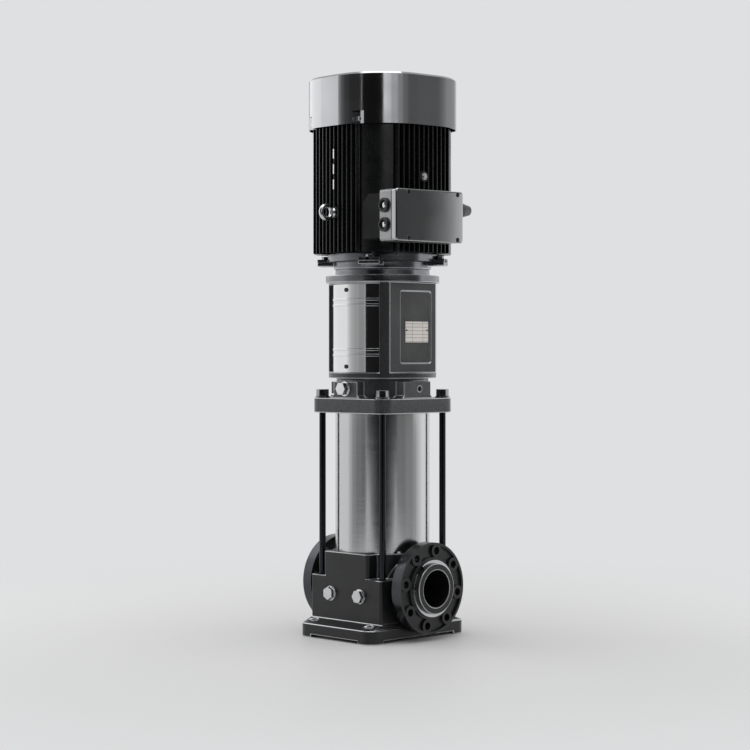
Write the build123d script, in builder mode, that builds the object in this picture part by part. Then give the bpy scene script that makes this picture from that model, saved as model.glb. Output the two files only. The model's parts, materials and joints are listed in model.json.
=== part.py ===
"""Booster pump set: a vertical multistage pump with its motor on top.

Millimetres. The origin is the centre of the foot's underside, +Z is up, the two ports
lie along X (discharge on +X) and the drain plugs face -Y and +Y.
"""
from build123d import *
from math import cos, radians, sin, sqrt
import os

os.makedirs("parts", exist_ok=True)

# Foot and body of the base casting
foot_width = 251.0
foot_length = 331.0
foot_corner = 28.0
foot_edge = 33.0
foot_crown = 43.0
crown_step = 3.0
foot_relief = 7.0
foot_pad = 46.0
foundation_bolt_x = 190.0
foundation_bolt_y = 290.0
foundation_bolt_hole = 14.0
foundation_seat_radius = 14.0
foundation_seat_height = 36.0
body_width = 240.0
body_length = 252.0
body_corner = 6.0
shoulder_height = 148.0
saddle_width = 152.0
saddle_corner = 8.0
collar_radius = 121.0
base_height = 207.0

# Ports and their loose flanges
port_height = 125.0
port_length = 365.0
port_bore = 89.0
neck_diameter = 121.0
neck_root_radius = 80.0
neck_stop_radius = 68.0
neck_nose = 15.0
flange_diameter = 218.0
flange_thickness = 28.0
flange_bolt_circle = 180.0
flange_bolt_hole = 18.0
flange_bolt_count = 8
flange_turn = 10.0
flange_boss_radius = 16.5
pocket_outer_radius = 103.0
pocket_inner_radius = 74.0
pocket_depth = 6.0
retaining_ring_width = 7.5
retaining_ring_thickness = 5.0
retaining_ring_gap = 24.0

# Passages inside the base
return_channel_radius = 92.0
return_channel_floor = 72.0
well_radius = 50.0
well_wall = 14.0
well_floor = 78.0
crossing_wall = 8.0
spigot_height = 6.0
spigot_width = 12.0

# Plugs
plug_across_flats = 28.0
plug_head = 10.0
plug_collar_radius = 18.0
plug_collar = 2.5
plug_thread_radius = 10.5
plug_thread_length = 14.0
drain_plug_spacing = 100.0
drain_plug_height = 106.0
vent_plug_head = 15.0
gauge_plug_radius = 6.5
gauge_plug_length = 12.0
gauge_plug_sink = 1.0
gauge_plug_socket = 6.0
gauge_plug_socket_depth = 6.0

# Sleeve, tie rods and pump head
sleeve_diameter = 230.0
sleeve_wall = 3.5
sleeve_length = 334.0
tie_rod_diameter = 16.0
tie_rod_spacing = 207.0
tie_rod_engagement = 34.0
tie_rod_sink = 1.0
tie_nut_across_flats = 27.0
tie_nut_height = 17.0
tie_washer_diameter = 36.0
tie_washer_thickness = 3.5
head_width = 253.0
head_corner = 30.0
head_flange = 36.0
head_height = 84.0
head_neck_radius = 112.0
head_boss_width = 82.0
gauge_boss_width = 92.0
gauge_boss_shift = -7.0
head_boss_top = 40.0
head_boss_skirt = 7.0
head_cavity_radius = 100.0
head_cavity_height = 60.0
vent_plug_height = 59.0

# Stages
stage_count = 2
stage_height = 118.0
chamber_radius = 104.0
chamber_wall = 3.0
chamber_floor = 4.0
inlet_neck_height = 24.0
inlet_neck_wall = 6.0
impeller_radius = 82.0
impeller_eye_radius = 37.0
impeller_outlet = 18.0
shroud_thickness = 3.0
eye_skirt_wall = 3.7
impeller_hub_radius = 22.0
impeller_hub_length = 24.0
impeller_lift = 14.0
vane_count = 6
vane_sweep = 52.0
vane_angle_thickness = 4.5
guide_vane_count = 6
guide_vane_thickness = 3.0
guide_vane_inner = 56.0
impeller_nut_across_flats = 40.0
impeller_nut_height = 14.0
pump_shaft_diameter = 28.0
pump_shaft_tail = 26.0
bush_wall = 6.0
bush_length = 20.0
spider_arm = 8.0

# Shaft seal and coupling
seal_plate_radius = 61.0
seal_plate = 8.0
seal_body_radius = 35.7
seal_depth = 18.0
seal_bore = 22.0
seal_collar_radius = 27.0
seal_collar = 18.0
coupling_radius = 48.0
coupling_length = 100.0
coupling_lift = 110.0
coupling_split = 3.0
coupling_screw_diameter = 10.0
coupling_screw_offset = 34.0
coupling_screw_spacing = 52.0
shaft_gap = 4.0

# Motor stool, its guards and the plate on its flat face
stool_radius = 131.0
stool_flat = 104.0
stool_flat_wall = 10.0
stool_foot = 14.0
stool_bay = 217.0
stool_bay_radius = 112.0
stool_band = 17.0
stool_band_radius = 138.5
stool_collar = 33.0
stool_collar_radius = 115.0
stool_collar_lip = 3.5
stool_collar_lip_height = 8.0
stool_collar_groove = 2.0
stool_collar_groove_width = 3.0
stool_collar_groove_lift = 14.0
stool_throat_radius = 65.0
stool_lug = 9.0
stool_screw_diameter = 12.0
stool_screw_circle = 85.0
stool_screw_engagement = 18.0
guard_radius = 121.5
guard_sheet = 1.2
guard_height = 212.0
guard_half_angle = 41.5
guard_recess_half_angle = 41.9
guard_ledge = 24.0
guard_bead = 1.2
guard_bead_width = 5.0
guard_bead_rows = (41.5, 55.0, 161.5, 175.0)
guard_screw_diameter = 5.0
guard_screw_head = 10.0
guard_screw_inset = 14.0
window_half_angle = 36.0
panel_width = 105.0
panel_height = 174.0
panel_depth = 3.0
panel_corner = 6.0
panel_shift = 10.0
panel_middle_lift = 123.0
plate_width = 78.0
plate_height = 50.0
plate_shift = 15.4
plate_lift = -11.5
plate_sheet = 1.0

# Motor, turned a little on the stool
motor_turn = -4.2
lug_turn = -12.0
lug_circle = 142.0
lug_nose = 15.5
lug_root = 50.0
lug_width = 52.0
lug_slot = 13.0
shield_radius = 133.5
shield_thickness = 20.0
shield_lug = 8.0
flange_bolt_diameter = 12.0
flange_bolt_across_flats = 19.0
flange_bolt_head = 7.5
bearing_outer_radius = 50.0
bearing_width = 25.0
bearing_seal_radius = 32.0
bearing_hub_wall = 12.0
shaft_port_radius = 34.0
frame_half = 152.0
frame_bulge = 8.0
frame_bulge_half = 81.0
frame_corner = 115.0
frame_shell_radius = 133.0
frame_bore_radius = 124.0
frame_height = 326.0
fin_count = 12
fin_pitch = 14.6
fin_thickness = 3.5
fin_field_half = 87.0
fin_root = 95.0
stator_length = 190.0
stator_lift = 59.0
stator_bore_radius = 79.0
rotor_radius = 78.5
motor_shaft_diameter = 42.0
bearing_journal_diameter = 45.0
rotor_seat_diameter = 56.0
rear_shield_thickness = 12.0
fan_hub_radius = 32.0
fan_hub_length = 30.0
fan_gap = 8.0
fan_blade_radius = 138.0
fan_blade_height = 42.0
fan_blade_thickness = 3.0
fan_blade_count = 7

# Fan cover
cover_half = 167.0
cover_corner = 135.0
cover_sheet = 2.0
cover_height = 122.0
cover_overlap = 24.0
cover_edge = 4.5
cover_slot_width = 7.0
cover_slot_pitch = 15.0
cover_slot_rows = 11
cover_slot_radius = 100.0
cover_slot_rib = 12.0
cover_pocket_inner = 76.0
cover_pocket_outer = 110.0
cover_pocket_height = 30.0
cover_pocket_face = 145.0
cover_pocket_reach = 60.0
cover_boss_radius = 9.0
cover_screw_offset = 84.0
cover_screw_lift = 12.0
cover_screw_diameter = 6.0
cover_screw_head = 12.0
cover_screw_length = 22.0

# Terminal box on the motor's +X side, moved towards -Y
box_width = 212.0
box_shift = -48.0
box_height = 122.0
box_middle = 81.0
box_inner = 168.0
box_outer = 209.0
box_corner = 8.0
box_wall = 4.0
gasket = 1.5
lid_depth = 16.5
lid_wall = 3.0
lid_edge = 4.0
lid_screw_left = -115.0
lid_screw_right = 39.0
lid_screw_rise = 53.5
lid_screw_diameter = 5.0
lid_screw_head = 9.0
lid_recess_radius = 5.2
lid_recess_depth = 4.0
lid_post_radius = 8.0
pedestal_back = 103.0
pedestal_margin = 4.0
pedestal_height = 105.0
pedestal_trim = 12.0
pedestal_notch = 20.0
entry_plug_diameter = 34.0
entry_plug_head = 6.0
entry_plug_spacing = 45.0
entry_plug_depth = 18.0
gland_diameter = 35.0
gland_length = 54.0
gland_nut_length = 30.0
gland_lift = 21.0
terminal_board_width = 90.0
terminal_board_height = 60.0
terminal_board_thickness = 8.0
terminal_stud_radius = 3.0
terminal_stud_height = 14.0
eyebolt_boss_radius = 15.0
eyebolt_boss_face = 154.0
eyebolt_height = 96.0
eyebolt_ring_radius = 16.5
eyebolt_ring_section = 4.3
eyebolt_collar_radius = 10.5
eyebolt_collar = 5.0
eyebolt_shank = 12.0
eyebolt_shank_length = 18.0
earth_boss_radius = 13.0
earth_boss_face = 161.0
earth_boss_shift = -8.0
earth_boss_height = 180.0
earth_washer_radius = 8.0
earth_washer = 1.5
earth_screw_radius = 5.0
earth_screw_head = 3.0
fin_pad_length = 23.0
fin_pad_thickness = 1.0
fin_pad_heights = (162.5, 199.0, 235.5)

# Clearances
running_clearance = 0.05
radial_clearance = 0.3
face_clearance = 0.3
bolt_clearance = 0.5
thread_clearance = 0.1

CENTRE = Align.CENTER
UP = (CENTRE, CENTRE, Align.MIN)
DOWN = (CENTRE, CENTRE, Align.MAX)

# Heights worked out from the sizes above
sleeve_radius = sleeve_diameter / 2
sleeve_bore = sleeve_radius - sleeve_wall
spigot_radius = sleeve_bore - radial_clearance
neck_radius = neck_diameter / 2
head_bottom = base_height + sleeve_length
head_top = head_bottom + head_height
flange_front = port_length / 2 - neck_nose
flange_back = flange_front - flange_thickness
rod_offset = tie_rod_spacing / 2
rod_places = [(x, y) for x in (-rod_offset, rod_offset) for y in (-rod_offset, rod_offset)]
chambers_bottom = base_height + inlet_neck_height
chambers_top = chambers_bottom + stage_count * stage_height
shaft_radius = pump_shaft_diameter / 2
stool_foot_top = head_top + stool_foot
stool_band_bottom = stool_foot_top + stool_bay
stool_collar_bottom = stool_band_bottom + stool_band
stool_top = stool_collar_bottom + stool_collar
stool_screw_places = [(x, y) for x in (-stool_screw_circle / sqrt(2), stool_screw_circle / sqrt(2))
                      for y in (-stool_screw_circle / sqrt(2), stool_screw_circle / sqrt(2))]
guard_bottom = stool_foot_top + face_clearance
guard_top = guard_bottom + guard_height
guard_screw_heights = (guard_bottom + guard_screw_inset, guard_top - guard_screw_inset)
coupling_bottom = head_top + coupling_lift
coupling_middle = coupling_bottom + coupling_length / 2
coupling_top = coupling_bottom + coupling_length
motor_xy = Plane.XY.rotated((0, 0, motor_turn))
lug_xy = Plane.XY.rotated((0, 0, lug_turn))
shield_bottom = stool_top
frame_bottom = shield_bottom + shield_thickness
frame_top = frame_bottom + frame_height
rear_shield_top = frame_top + rear_shield_thickness
cover_bottom = frame_top - cover_overlap
cover_top = cover_bottom + cover_height
cover_pocket_middle = (cover_pocket_inner + cover_pocket_outer) / 2
cover_pocket_width = cover_pocket_outer - cover_pocket_inner
panel_middle = head_top + panel_middle_lift


def disc(radius, bottom, top, mode=Mode.ADD, at=(0, 0)):
    """A round plate or bore between two heights."""
    with Locations((at[0], at[1], bottom)):
        Cylinder(radius, top - bottom, align=UP, mode=mode)


def turned(outline, mode=Mode.ADD):
    """A closed outline of (radius, height) points turned about the shaft line."""
    with BuildSketch(Plane.XZ) as half_section:
        with BuildLine():
            Polyline(*outline, close=True)
        make_face()
    revolve(half_section.sketch, axis=Axis.Z, mode=mode)


def polar(radius, degrees):
    """The flat point at a radius and an angle from X."""
    return (radius * cos(radians(degrees)), radius * sin(radians(degrees)))


def hex_head(across_flats, height, plane, turn=0):
    """A hexagon standing on a plane."""
    with BuildSketch(plane) as hexagon:
        RegularPolygon(across_flats / 2, 6, major_radius=False, rotation=turn)
    extrude(hexagon.sketch, amount=height)


def facing_x(side, distance, height, along=0):
    """A plane that faces out along X."""
    return Plane(origin=(side * distance, along, height), x_dir=(0, 1, 0), z_dir=(side, 0, 0))


def facing_y(side, distance, height, along=0):
    """A plane that faces out along Y."""
    return Plane(origin=(along, side * distance, height), x_dir=(1, 0, 0), z_dir=(0, side, 0))


def motor_side(direction, distance, height):
    """A plane that faces out from the motor's own axes, at a distance and a height."""
    outward = polar(1, direction + motor_turn)
    return Plane(origin=(distance * outward[0], distance * outward[1], height),
                 x_dir=(-outward[1], outward[0], 0), z_dir=(*outward, 0))


def ring_slice(direction, half_angle, outer, inner):
    """A face between two radii and two angles."""
    with BuildLine() as border:
        CenterArc((0, 0), outer, direction - half_angle, 2 * half_angle)
        Line(polar(outer, direction + half_angle), polar(inner, direction + half_angle))
        CenterArc((0, 0), inner, direction - half_angle, 2 * half_angle)
        Line(polar(inner, direction - half_angle), polar(outer, direction - half_angle))
    make_face(border.edges())


def slotted_lugs(thickness, bottom, slot):
    """Four lugs round the shaft line, open-ended slots in them if asked for."""
    with BuildSketch(lug_xy.offset(bottom)) as lugs:
        with PolarLocations(lug_circle, 4, start_angle=45):
            with Locations((-lug_root, 0)):
                Rectangle(lug_root + lug_nose, lug_width, align=(Align.MIN, CENTRE))
            if slot:
                Circle(lug_slot / 2, mode=Mode.SUBTRACT)
                Rectangle(lug_width, lug_slot, align=(Align.MIN, CENTRE), mode=Mode.SUBTRACT)
    extrude(lugs.sketch, amount=thickness)


def finish(node, name):
    """Label a finished sub-part and write its file."""
    node.part.label = name
    export_step(node.part, f"parts/{name}.step")


# Base casting: foot, body, necks and the passages inside
with BuildPart() as pump_base:
    with BuildSketch(Plane.XY):
        RectangleRounded(foot_width, foot_length, foot_corner)
    extrude(amount=foot_edge)
    with BuildSketch(Plane.XY.offset(foot_edge)):
        RectangleRounded(foot_width - 2 * crown_step, foot_length - 2 * crown_step,
                         foot_corner - crown_step)
    with BuildSketch(Plane.XY.offset(foot_crown)):
        RectangleRounded(body_width + crown_step, body_length + 2 * crown_step,
                         body_corner + crown_step / 2)
    loft()
    with BuildSketch(Plane.XY.offset(foot_edge)):
        RectangleRounded(body_width, body_length, body_corner)
    extrude(amount=shoulder_height - foot_edge)
    with BuildSketch(Plane.XY.offset(shoulder_height)):
        RectangleRounded(saddle_width, body_length, saddle_corner)
        Circle(collar_radius)
    extrude(amount=base_height - shoulder_height)
    for side in (-1, 1):
        port = facing_x(side, 0, port_height)
        with BuildSketch(port):
            Circle(neck_radius)
        extrude(amount=port_length / 2)
        stop_length = flange_back - face_clearance - body_width / 2
        with Locations(port.offset(body_width / 2)):
            Cone(neck_root_radius, neck_stop_radius, stop_length, align=UP)
        with Locations(port):
            Cylinder(neck_root_radius, body_width / 2, align=UP)
    # The top is machined flat, across the necks too
    with Locations((0, 0, base_height)):
        Box(port_length, body_length, neck_root_radius, align=UP, mode=Mode.SUBTRACT)
    # Relief under the foot leaves a pad at each corner
    for across, along in ((foot_width, foot_length - 2 * foot_pad),
                          (foot_width - 2 * foot_pad, foot_length)):
        Box(across, along, foot_relief, align=UP, mode=Mode.SUBTRACT)
    # Return channel, suction well and the crossing that feeds it
    disc(spigot_radius, base_height, base_height + spigot_height)
    disc(spigot_radius - spigot_width, base_height, base_height + spigot_height, Mode.SUBTRACT)
    disc(return_channel_radius, return_channel_floor, base_height, Mode.SUBTRACT)
    disc(well_radius + well_wall, return_channel_floor, base_height)
    suction = facing_x(-1, 0, port_height)
    with Locations(suction.offset(well_radius)):
        Cylinder(port_bore / 2 + crossing_wall, return_channel_radius - well_radius, align=UP)
    disc(well_radius, well_floor, base_height, Mode.SUBTRACT)
    with Locations(suction):
        Cylinder(port_bore / 2, port_length / 2, align=UP, mode=Mode.SUBTRACT)
    with Locations(facing_x(1, well_radius + well_wall, port_height)):
        Cylinder(port_bore / 2, port_length / 2 - well_radius - well_wall, align=UP,
                 mode=Mode.SUBTRACT)
    # Foundation holes, tie-rod holes and plug holes
    with GridLocations(foundation_bolt_x, foundation_bolt_y, 2, 2):
        Cylinder(foundation_bolt_hole / 2, foot_crown, align=UP, mode=Mode.SUBTRACT)
        with Locations((0, 0, foundation_seat_height)):
            Cylinder(foundation_seat_radius, foot_crown, align=UP, mode=Mode.SUBTRACT)
    for place in rod_places:
        disc(tie_rod_diameter / 2 + thread_clearance, shoulder_height - tie_rod_engagement,
             shoulder_height, Mode.SUBTRACT, place)
    for side in (-1, 1):
        with Locations(facing_y(side, body_length / 2, drain_plug_height)):
            with Locations((-drain_plug_spacing / 2, 0), (drain_plug_spacing / 2, 0)):
                Cylinder(plug_thread_radius + thread_clearance, plug_thread_length + plug_collar,
                         align=DOWN, mode=Mode.SUBTRACT)
finish(pump_base, "pump_base")


def plug(plane, head, thread_length, turn):
    """A hexagon plug with a round collar, seated on a plane that faces out."""
    with Locations(plane):
        Cylinder(plug_collar_radius, plug_collar, align=UP)
        Cylinder(plug_thread_radius, thread_length, align=DOWN)
    hex_head(plug_across_flats, head, plane.offset(plug_collar), turn)


with BuildPart() as drain_plugs:
    for side in (-1, 1):
        for x, turn in ((-drain_plug_spacing / 2, 30), (drain_plug_spacing / 2, 0)):
            plug(facing_y(side, body_length / 2, drain_plug_height, x), plug_head,
                 plug_thread_length, turn)
finish(drain_plugs, "drain_plugs")


def loose_flange(name, side):
    """A swivelling port flange: plain bore, drilled bosses and pockets between the bosses."""
    back = facing_x(side, flange_back, port_height)
    front = back.offset(flange_thickness)
    first_hole = 90 - side * flange_turn
    with BuildPart() as flange:
        with BuildSketch(back):
            Circle(flange_diameter / 2)
            Circle(neck_radius + radial_clearance, mode=Mode.SUBTRACT)
            with PolarLocations(flange_bolt_circle / 2, flange_bolt_count, first_hole):
                Circle(flange_bolt_hole / 2, mode=Mode.SUBTRACT)
        extrude(amount=flange_thickness)
        with BuildSketch(front):
            Circle(pocket_outer_radius)
            Circle(pocket_inner_radius, mode=Mode.SUBTRACT)
            with PolarLocations(flange_bolt_circle / 2, flange_bolt_count, first_hole):
                Circle(flange_boss_radius, mode=Mode.SUBTRACT)
        extrude(amount=-pocket_depth, mode=Mode.SUBTRACT)
    finish(flange, name)
    return flange


discharge_flange = loose_flange("discharge_flange", 1)
suction_flange = loose_flange("suction_flange", -1)

# Split rings that keep the loose flanges on their necks
with BuildPart() as retaining_rings:
    for side in (-1, 1):
        with BuildSketch(facing_x(side, flange_front + face_clearance, port_height)):
            Circle(neck_radius + retaining_ring_width)
            Circle(neck_radius, mode=Mode.SUBTRACT)
            with Locations((-neck_radius * 0.7, neck_radius * 0.7)):
                Rectangle(retaining_ring_gap, neck_radius, rotation=45, mode=Mode.SUBTRACT)
        extrude(amount=retaining_ring_thickness)
finish(retaining_rings, "retaining_rings")

# Bright outer sleeve between the base and the head
with BuildPart() as outer_sleeve:
    with BuildSketch(Plane.XY.offset(base_height)):
        Circle(sleeve_radius)
        Circle(sleeve_bore, mode=Mode.SUBTRACT)
    extrude(amount=sleeve_length)
finish(outer_sleeve, "outer_sleeve")

# Head: square flange, and above it the round dome with four flat bosses where the last stage empties
head_shelf = head_bottom + head_flange
with BuildPart() as head_flange_plate:
    with BuildSketch(Plane.XY.offset(head_bottom)):
        RectangleRounded(head_width, head_width, head_corner)
    extrude(amount=head_flange)
    disc(spigot_radius, head_bottom - spigot_height, head_bottom)
    disc(head_cavity_radius, head_bottom - spigot_height, head_shelf, Mode.SUBTRACT)
    for place in rod_places:
        disc(tie_rod_diameter / 2 + bolt_clearance, head_bottom, head_shelf, Mode.SUBTRACT, place)
finish(head_flange_plate, "head_flange_plate")

vent_seat = facing_y(-1, head_width / 2, head_bottom + vent_plug_height)
gauge_seat = facing_x(1, head_width / 2, head_bottom + vent_plug_height)


def flat_boss(side_plane, width, shift):
    """A flat-ended boss across the head, its sides splayed where they meet the flange."""
    left = shift - width / 2
    right = shift + width / 2
    with BuildSketch(side_plane) as boss:
        with BuildLine():
            Polyline((left - head_boss_skirt, head_shelf), (right + head_boss_skirt, head_shelf),
                     (right, head_shelf + head_boss_skirt), (right, head_shelf + head_boss_top),
                     (left, head_shelf + head_boss_top), (left, head_shelf + head_boss_skirt),
                     close=True)
        make_face()
    extrude(boss.sketch, amount=head_width / 2, both=True)


with BuildPart() as pump_head:
    disc(head_neck_radius, head_shelf, head_top)
    flat_boss(Plane.XZ, head_boss_width, 0)
    flat_boss(Plane.YZ, gauge_boss_width, gauge_boss_shift)
    disc(head_cavity_radius, head_shelf, head_bottom + head_cavity_height, Mode.SUBTRACT)
    disc(seal_body_radius + radial_clearance, head_bottom + head_cavity_height, head_top, Mode.SUBTRACT)
    for place in stool_screw_places:
        disc(stool_screw_diameter / 2 + thread_clearance, head_top - stool_screw_engagement, head_top,
             Mode.SUBTRACT, place)
    with Locations(vent_seat):
        Cylinder(plug_thread_radius + thread_clearance, plug_thread_length + plug_collar,
                 align=DOWN, mode=Mode.SUBTRACT)
    with Locations(gauge_seat):
        Cylinder(gauge_plug_radius + thread_clearance, gauge_plug_length + gauge_plug_sink,
                 align=DOWN, mode=Mode.SUBTRACT)
finish(pump_head, "pump_head")

with BuildPart() as vent_plug:
    plug(vent_seat, vent_plug_head, plug_thread_length, 0)
finish(vent_plug, "vent_plug")

with BuildPart() as gauge_plug:
    with Locations(gauge_seat.offset(-gauge_plug_sink)):
        Cylinder(gauge_plug_radius, gauge_plug_length, align=DOWN)
    with BuildSketch(gauge_seat.offset(-gauge_plug_sink)):
        RegularPolygon(gauge_plug_socket / 2, 6, major_radius=False)
    extrude(amount=-gauge_plug_socket_depth, mode=Mode.SUBTRACT)
finish(gauge_plug, "gauge_plug")

# Tie rods, their washers and nuts
rod_bottom = shoulder_height - tie_rod_engagement
washer_top = head_shelf + tie_washer_thickness
nut_top = washer_top + tie_nut_height
with BuildPart() as tie_rods:
    for place in rod_places:
        disc(tie_rod_diameter / 2, rod_bottom, nut_top - tie_rod_sink, at=place)
finish(tie_rods, "tie_rods")

with BuildPart() as tie_rod_washers:
    for place in rod_places:
        disc(tie_washer_diameter / 2, head_shelf, washer_top, at=place)
        disc(tie_rod_diameter / 2 + bolt_clearance, head_shelf, washer_top, Mode.SUBTRACT, place)
finish(tie_rod_washers, "tie_rod_washers")

with BuildPart() as tie_rod_nuts:
    for place in rod_places:
        hex_head(tie_nut_across_flats, tie_nut_height, Plane(origin=(*place, washer_top)), 45)
        disc(tie_rod_diameter / 2 + thread_clearance, washer_top, nut_top, Mode.SUBTRACT, place)
finish(tie_rod_nuts, "tie_rod_nuts")

# Inlet neck: leads the water from the well to the first eye and carries the bottom bush on a spider
bush_radius = shaft_radius + running_clearance + bush_wall
with BuildPart() as inlet_neck:
    disc(well_radius + inlet_neck_wall, base_height, chambers_bottom)
    disc(well_radius, base_height, chambers_bottom, Mode.SUBTRACT)
    for turn in range(3):
        with Locations(Plane.XY.offset(base_height).rotated((0, 0, 120 * turn))):
            Box(well_radius + inlet_neck_wall / 2, spider_arm, bush_length,
                align=(Align.MIN, CENTRE, Align.MIN))
    disc(bush_radius + inlet_neck_wall, base_height, base_height + bush_length)
    disc(bush_radius, base_height, base_height + bush_length, Mode.SUBTRACT)
finish(inlet_neck, "inlet_neck")

with BuildPart() as bottom_bush:
    disc(bush_radius, base_height, base_height + bush_length)
    disc(shaft_radius + running_clearance, base_height, base_height + bush_length, Mode.SUBTRACT)
finish(bottom_bush, "bottom_bush")

# Stage chambers: sheet cups with an eye in the floor and guide vanes under the next floor
eye_bore = impeller_eye_radius + eye_skirt_wall + radial_clearance
wheel_top = impeller_lift + 2 * shroud_thickness + impeller_outlet
hub_top = wheel_top + impeller_hub_length
guide_vane_bottom = hub_top - impeller_hub_length / 2
stage_floors = [(0, 0, chambers_bottom + stage * stage_height) for stage in range(stage_count)]
with BuildPart() as cup:
    disc(chamber_radius, 0, stage_height)
    disc(chamber_radius - chamber_wall, chamber_floor, stage_height, Mode.SUBTRACT)
    disc(eye_bore, 0, chamber_floor, Mode.SUBTRACT)
    for vane in range(guide_vane_count):
        with Locations(Plane.XY.offset(guide_vane_bottom).rotated((0, 0, 360 / guide_vane_count * vane))):
            with Locations((guide_vane_inner, 0, 0)):
                Box(chamber_radius - chamber_wall / 2 - guide_vane_inner, guide_vane_thickness,
                    stage_height - guide_vane_bottom, align=(Align.MIN, CENTRE, Align.MIN))

with BuildPart() as stage_chambers:
    with Locations(*stage_floors):
        add(cup.part)
finish(stage_chambers, "stage_chambers")

with BuildPart() as outlet_guide:
    disc(chamber_radius, chambers_top, head_bottom - spigot_height)
    disc(chamber_radius - chamber_wall, chambers_top, head_bottom - spigot_height, Mode.SUBTRACT)
    for turn in (0, 90):
        with Locations(Plane.XY.offset(chambers_top + chamber_floor).rotated((0, 0, turn))):
            Box(2 * sleeve_radius, chamber_radius,
                head_bottom - spigot_height - chambers_top - 4 * chamber_floor,
                align=UP, mode=Mode.SUBTRACT)
finish(outlet_guide, "outlet_guide")

# Closed impellers with swept vanes, eye downwards
with BuildSketch() as vane_outline:
    vane_inner = impeller_eye_radius + shroud_thickness
    vane_middle = (impeller_eye_radius + impeller_radius) / 2
    vane_outer = impeller_radius - shroud_thickness / 2
    with BuildLine():
        Polyline(polar(vane_inner, 0), polar(vane_middle, -0.38 * vane_sweep),
                 polar(vane_outer, -vane_sweep), polar(vane_outer, vane_angle_thickness - vane_sweep),
                 polar(vane_middle, vane_angle_thickness - 0.38 * vane_sweep),
                 polar(vane_inner, vane_angle_thickness), close=True)
    make_face()

upper_shroud = impeller_lift + shroud_thickness + impeller_outlet
with BuildPart() as wheel:
    disc(impeller_radius, impeller_lift, impeller_lift + shroud_thickness)
    disc(impeller_eye_radius + eye_skirt_wall, 0, impeller_lift)
    disc(impeller_eye_radius, 0, impeller_lift + shroud_thickness, Mode.SUBTRACT)
    disc(impeller_radius, upper_shroud, upper_shroud + shroud_thickness)
    disc(impeller_hub_radius, impeller_lift, hub_top)
    with BuildSketch(Plane.XY.offset(impeller_lift + shroud_thickness)):
        with PolarLocations(0, vane_count):
            add(vane_outline.sketch)
    extrude(amount=impeller_outlet)
    disc(shaft_radius, 0, hub_top, Mode.SUBTRACT)

with BuildPart() as impellers:
    with Locations(*stage_floors):
        add(wheel.part)
finish(impellers, "impellers")

with BuildPart() as impeller_nuts:
    for floor in stage_floors:
        nut_seat = floor[2] + hub_top
        hex_head(impeller_nut_across_flats, impeller_nut_height, Plane.XY.offset(nut_seat))
        disc(shaft_radius, nut_seat, nut_seat + impeller_nut_height, Mode.SUBTRACT)
finish(impeller_nuts, "impeller_nuts")

with BuildPart() as pump_shaft:
    disc(shaft_radius, base_height - pump_shaft_tail, coupling_middle - shaft_gap / 2)
finish(pump_shaft, "pump_shaft")

# Cartridge seal: a plate on the head with the still half in it, and the turning half on the shaft
with BuildPart() as seal_housing:
    turned([(seal_bore, head_top - seal_depth), (seal_body_radius, head_top - seal_depth),
            (seal_body_radius, head_top), (seal_plate_radius, head_top),
            (seal_plate_radius, head_top + seal_plate), (seal_bore, head_top + seal_plate)])
finish(seal_housing, "seal_housing")

with BuildPart() as seal_rotor:
    turned([(shaft_radius, head_top - seal_depth), (seal_bore - radial_clearance, head_top - seal_depth),
            (seal_bore - radial_clearance, head_top + seal_plate + face_clearance),
            (seal_collar_radius, head_top + seal_plate + face_clearance),
            (seal_collar_radius, head_top + seal_plate + seal_collar),
            (shaft_radius, head_top + seal_plate + seal_collar)])
finish(seal_rotor, "seal_rotor")

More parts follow.
